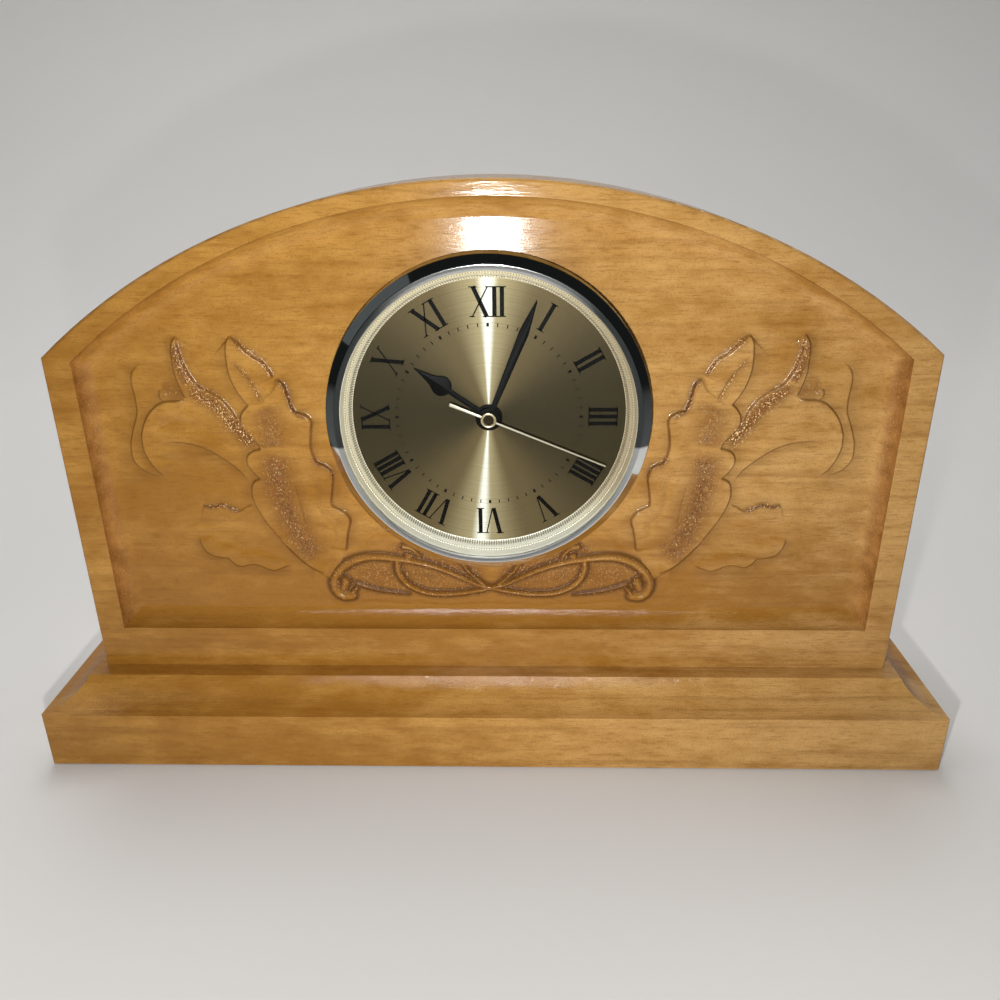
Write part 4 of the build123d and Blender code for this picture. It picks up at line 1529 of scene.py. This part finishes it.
@dataclass
class Studio:
    """Plain pale floor with a wall behind, and soft lamps."""

    paper: Finish
    aim: Place = (0.0, -0.01, 0.125)
    beside_camera: Place = (-0.0147, 0.0, -0.0488)
    floor_drop: float = 0.0004
    half_width: float = 3.0
    front: float = -3.0
    wall: float = 0.75
    wall_height: float = 2.4
    sweep: float = 0.35
    sweep_steps: int = 12
    world: float = 0.06
    world_colour: Colour = (1.0, 0.99, 0.97)

    def floor(self) -> None:
        """Floor and wall in one sweep of paper."""
        mesh = bmesh.new()
        low = -self.floor_drop
        turn = self.wall - self.sweep
        profile = [(self.front, low), (turn, low)]
        for step in range(1, self.sweep_steps + 1):
            angle = step / self.sweep_steps * math.pi / 2
            profile.append((turn + self.sweep * math.sin(angle), low + self.sweep * (1 - math.cos(angle))))
        profile.append((self.wall, self.wall_height))
        corners = [mesh.verts.new((-self.half_width, y, z)) for y, z in profile]
        edges = [mesh.edges.new(pair) for pair in zip(corners, corners[1:])]
        swept = bmesh.ops.extrude_edge_only(mesh, edges=edges)["geom"]
        far = [part for part in swept if isinstance(part, bmesh.types.BMVert)]
        bmesh.ops.translate(mesh, vec=(2 * self.half_width, 0, 0), verts=far)
        bmesh.ops.recalc_face_normals(mesh, faces=mesh.faces)
        data = bpy.data.meshes.new("floor")
        for face in mesh.faces:
            face.smooth = True
        mesh.to_mesh(data)
        mesh.free()
        data.materials.append(self.paper.material())
        sheet = bpy.data.objects.new("floor", data)
        bpy.context.scene.collection.objects.link(sheet)

    def light(self, view: Viewpoint) -> None:
        """Hangs the lamps and sets the world's even light.

        Args:
            view: the camera that one lamp hangs beside.
        """
        beside = tuple(Vector(view.place) + Vector(self.beside_camera))
        lamps = (
            Lamp("lamp_by_camera", beside, self.aim, size=0.009, watts=0.62),
            Lamp("lamp_above", (-0.1, 0.45, 1.1), (0.0, 0.3, 0.0), size=0.7, watts=6.5),
            Lamp("lamp_left", (-1.0, -0.2, 0.8), self.aim, size=0.9, watts=1.0),
            Lamp("lamp_right", (1.2, 0.25, 0.9), (0.25, 0.6, 0.2), size=0.9, watts=2.6),
            Lamp("lamp_wall", (-1.3, 0.0, 1.0), (-1.0, 0.75, 0.3), size=0.9, watts=3.0),
        )
        for lamp in lamps:
            lamp.build()
        world = bpy.data.worlds.new("even_light")
        world.use_nodes = True
        back = world.node_tree.nodes["Background"]
        back.inputs["Color"].default_value = (*self.world_colour, 1.0)
        back.inputs["Strength"].default_value = self.world
        bpy.context.scene.world = world


@dataclass
class DeskClock:
    """The whole clock: finishes for its solids, and the pieces modelled here."""

    view: Viewpoint = field(default_factory=Viewpoint)
    wood: Finish = field(default_factory=lambda: LacqueredWood("wood"))
    leaf_box: Box = (-119.0, -38.0, 52.0, 142.0)
    leaf_pitch: float = 0.26
    scroll_box: Box = (-60.0, 60.0, 44.0, 76.0)
    scroll_pitch: float = 0.25
    scroll_skin: float = 0.19 * MM
    scroll_margin: float = 4.0 * MM
    ring_inner: float = 40.48
    ring_opening: float = 43.33
    second_ease: float = 0.08 * MM

    def __post_init__(self) -> None:
        """Takes places from the solids."""
        bezel_low, bezel_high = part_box("bezel")
        self.centre = (bezel_low + bezel_high) / 2
        self.centre.x = 0.0
        self.floor_y = bezel_high.y
        self.bezel_radius = (bezel_high.z - bezel_low.z) / 2
        self.dial_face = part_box("dial")[0].y
        self.gilt = Metal("gilt", (0.83, 0.66, 0.36), (0.78, 0.60, 0.31), 0.22)
        self.pale_gilt = Metal("pale_gilt", (0.95, 0.88, 0.70), (0.90, 0.82, 0.62), 0.30, metallic=0.7)
        lacquer = {"roughness": 0.40, "relief": 0.004 * MM, "gloss": 0.05}
        self.black_lacquer = Plastic("black_lacquer", (0.004,) * 3, (0.006,) * 3, **lacquer)

    def finishes(self) -> dict[Finish, tuple[str, ...]]:
        """The finish of every CAD node that stays in view.

        Returns:
            The names of the nodes, per finish.
        """
        centre = tuple(self.centre)
        screws = ("base_screws", "movement_screws", "cover_screws")
        case = ("dial_pan", "movement_plate", "movement_cover")
        pale_parts = ("train_plate", "coil_bobbin")
        bright_parts = ("quartz_crystal", "contact_negative", "contact_positive")
        going = ("second_wheel", "third_wheel", "centre_wheel", "idler_wheel", "rotor")
        motion = ("motion_wheel", "hour_wheel")
        return {
            self.wood: ("face_board", "base"),
            Metal("steel", (0.55, 0.54, 0.52), (0.45, 0.44, 0.42), 0.30): screws,
            ChromeWithPaintedReflection("dark_chrome", centre): ("bezel",),
            ClearGlass("glass"): ("lens",),
            BrushedDial("dial", centre): ("dial",),
            Plastic("black_plastic", (0.018, 0.018, 0.019), (0.026, 0.026, 0.027), 0.42): case,
            Plastic("rubber", (0.03, 0.03, 0.03), (0.04, 0.04, 0.04), 0.75): ("gasket",),
            Plastic("white_plastic", (0.72, 0.71, 0.67), (0.78, 0.77, 0.73), 0.40): pale_parts,
            Metal("iron", (0.48, 0.47, 0.45), (0.36, 0.35, 0.34), 0.38): ("stator", "coil_core"),
            WoundWire("copper"): ("coil_winding",),
            Plastic("laminate", (0.05, 0.22, 0.10), (0.07, 0.27, 0.13), 0.38): ("circuit_board",),
            Plastic("chip_resin", (0.012, 0.012, 0.012), (0.020, 0.020, 0.020), 0.30): ("drive_chip",),
            Metal("plated_steel", (0.66, 0.65, 0.62), (0.58, 0.57, 0.54), 0.24): bright_parts,
            Plastic("battery_jacket", (0.20, 0.21, 0.22), (0.24, 0.25, 0.26), 0.30): ("battery",),
            self.gilt: ("minute_pinion",),
            Plastic("gear_plastic", (0.68, 0.66, 0.58), (0.76, 0.74, 0.67), 0.42): going + motion,
            Plastic("ferrite", (0.05, 0.05, 0.055), (0.08, 0.08, 0.085), 0.5): ("rotor_magnet",),
            Plastic("knob_plastic", (0.30, 0.30, 0.30), (0.35, 0.35, 0.35), 0.42): ("setting_knob",),
        }

    def dress_solids(self) -> None:
        """Puts each finish on its CAD nodes."""
        for finish, nodes in self.finishes().items():
            for name in nodes:
                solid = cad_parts[name]
                for slot in solid.material_slots:
                    slot.material = finish.material()
                LOG.info("%s gets finish %s", name, finish.name)

    def carvings(self) -> list[Carving]:
        """The leaf, which has a mirror image, and the scroll under the dial.

        Returns:
            The leaf and the scroll.
        """
        common = (self.view, self.wood, self.floor_y, self.centre, self.bezel_radius)
        leaf = Carving("carved_leaf", *common, self.leaf_box, self.leaf_pitch)
        leaf.cliffs, leaf.cuts = LEAF_CLIFFS, LEAF_CUTS
        scroll = Carving("carved_scroll", *common, self.scroll_box, self.scroll_pitch, mirrored=True)
        scroll.straps, scroll.cuts = SCROLL_STRAPS, SCROLL_CUTS
        scroll.skin, scroll.margin = self.scroll_skin, self.scroll_margin
        return [leaf, scroll]

    def ring(self) -> ReededRing:
        """The reeded ring, fitted to the lens, the dial and the solid that it stands for.

        Returns:
            The ring.
        """
        low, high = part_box("reeded_ring")
        levels = (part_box("lens")[1].y, self.dial_face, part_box("dial_pan")[0].y)
        lens_depth, dial_depth, seat_depth = ((level - self.floor_y) / MM for level in levels)
        return ReededRing(
            Lathe(self.centre, self.floor_y, RING_STEPS),
            inner=self.ring_inner,
            outer=(high.z - low.z) / 2 / MM,
            opening=self.ring_opening,
            lens_depth=lens_depth,
            dial_depth=dial_depth,
            seat_depth=seat_depth,
        )

    def build(self) -> None:
        """Dresses the solids and models the pieces."""
        self.dress_solids()
        leaf, scroll = self.carvings()
        leaf.dress_pair()
        scroll.dress()
        self.ring().dress()
        ink = Plastic("ink", (0.003, 0.0027, 0.0025), (0.005, 0.0045, 0.004), 0.45, gloss=0.06)
        DialPrint(self.centre, self.dial_face, ink).dress()
        Hand("hour_hand", "hand_hour", Body.HOURS, "black_hand", self.black_lacquer).dress()
        Hand("minute_hand", "hand_minute", Body.MINUTES, "black_hand", self.black_lacquer).dress()
        second = Hand("second_hand", "hand_second", Body.SECONDS, "gilt_hand", self.pale_gilt)
        second.ease = self.second_ease
        second.dress()
        cap_low, cap_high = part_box("centre_cap")
        CentreCap(
            Lathe(self.centre, self.floor_y, CAP_STEPS),
            GiltWithPaintedHollowShade("gilt_painted_hollow_shade", tuple(self.centre)),
            radius=(cap_high.z - cap_low.z) / 2 / MM,
            back=(cap_high.y - self.floor_y) / MM,
            front=(cap_low.y - self.floor_y) / MM,
        ).dress()


def main() -> None:
    """Builds the clock, the studio and the camera."""
    logging.basicConfig(level=logging.INFO, format="%(name)s: %(message)s")
    clock = DeskClock()
    clock.build()
    studio = Studio(StudioPaper("paper"))
    studio.floor()
    studio.light(clock.view)
    clock.view.build()
    bpy.context.scene.view_settings.view_transform = "Standard"


if __name__ == "__main__":
    main()
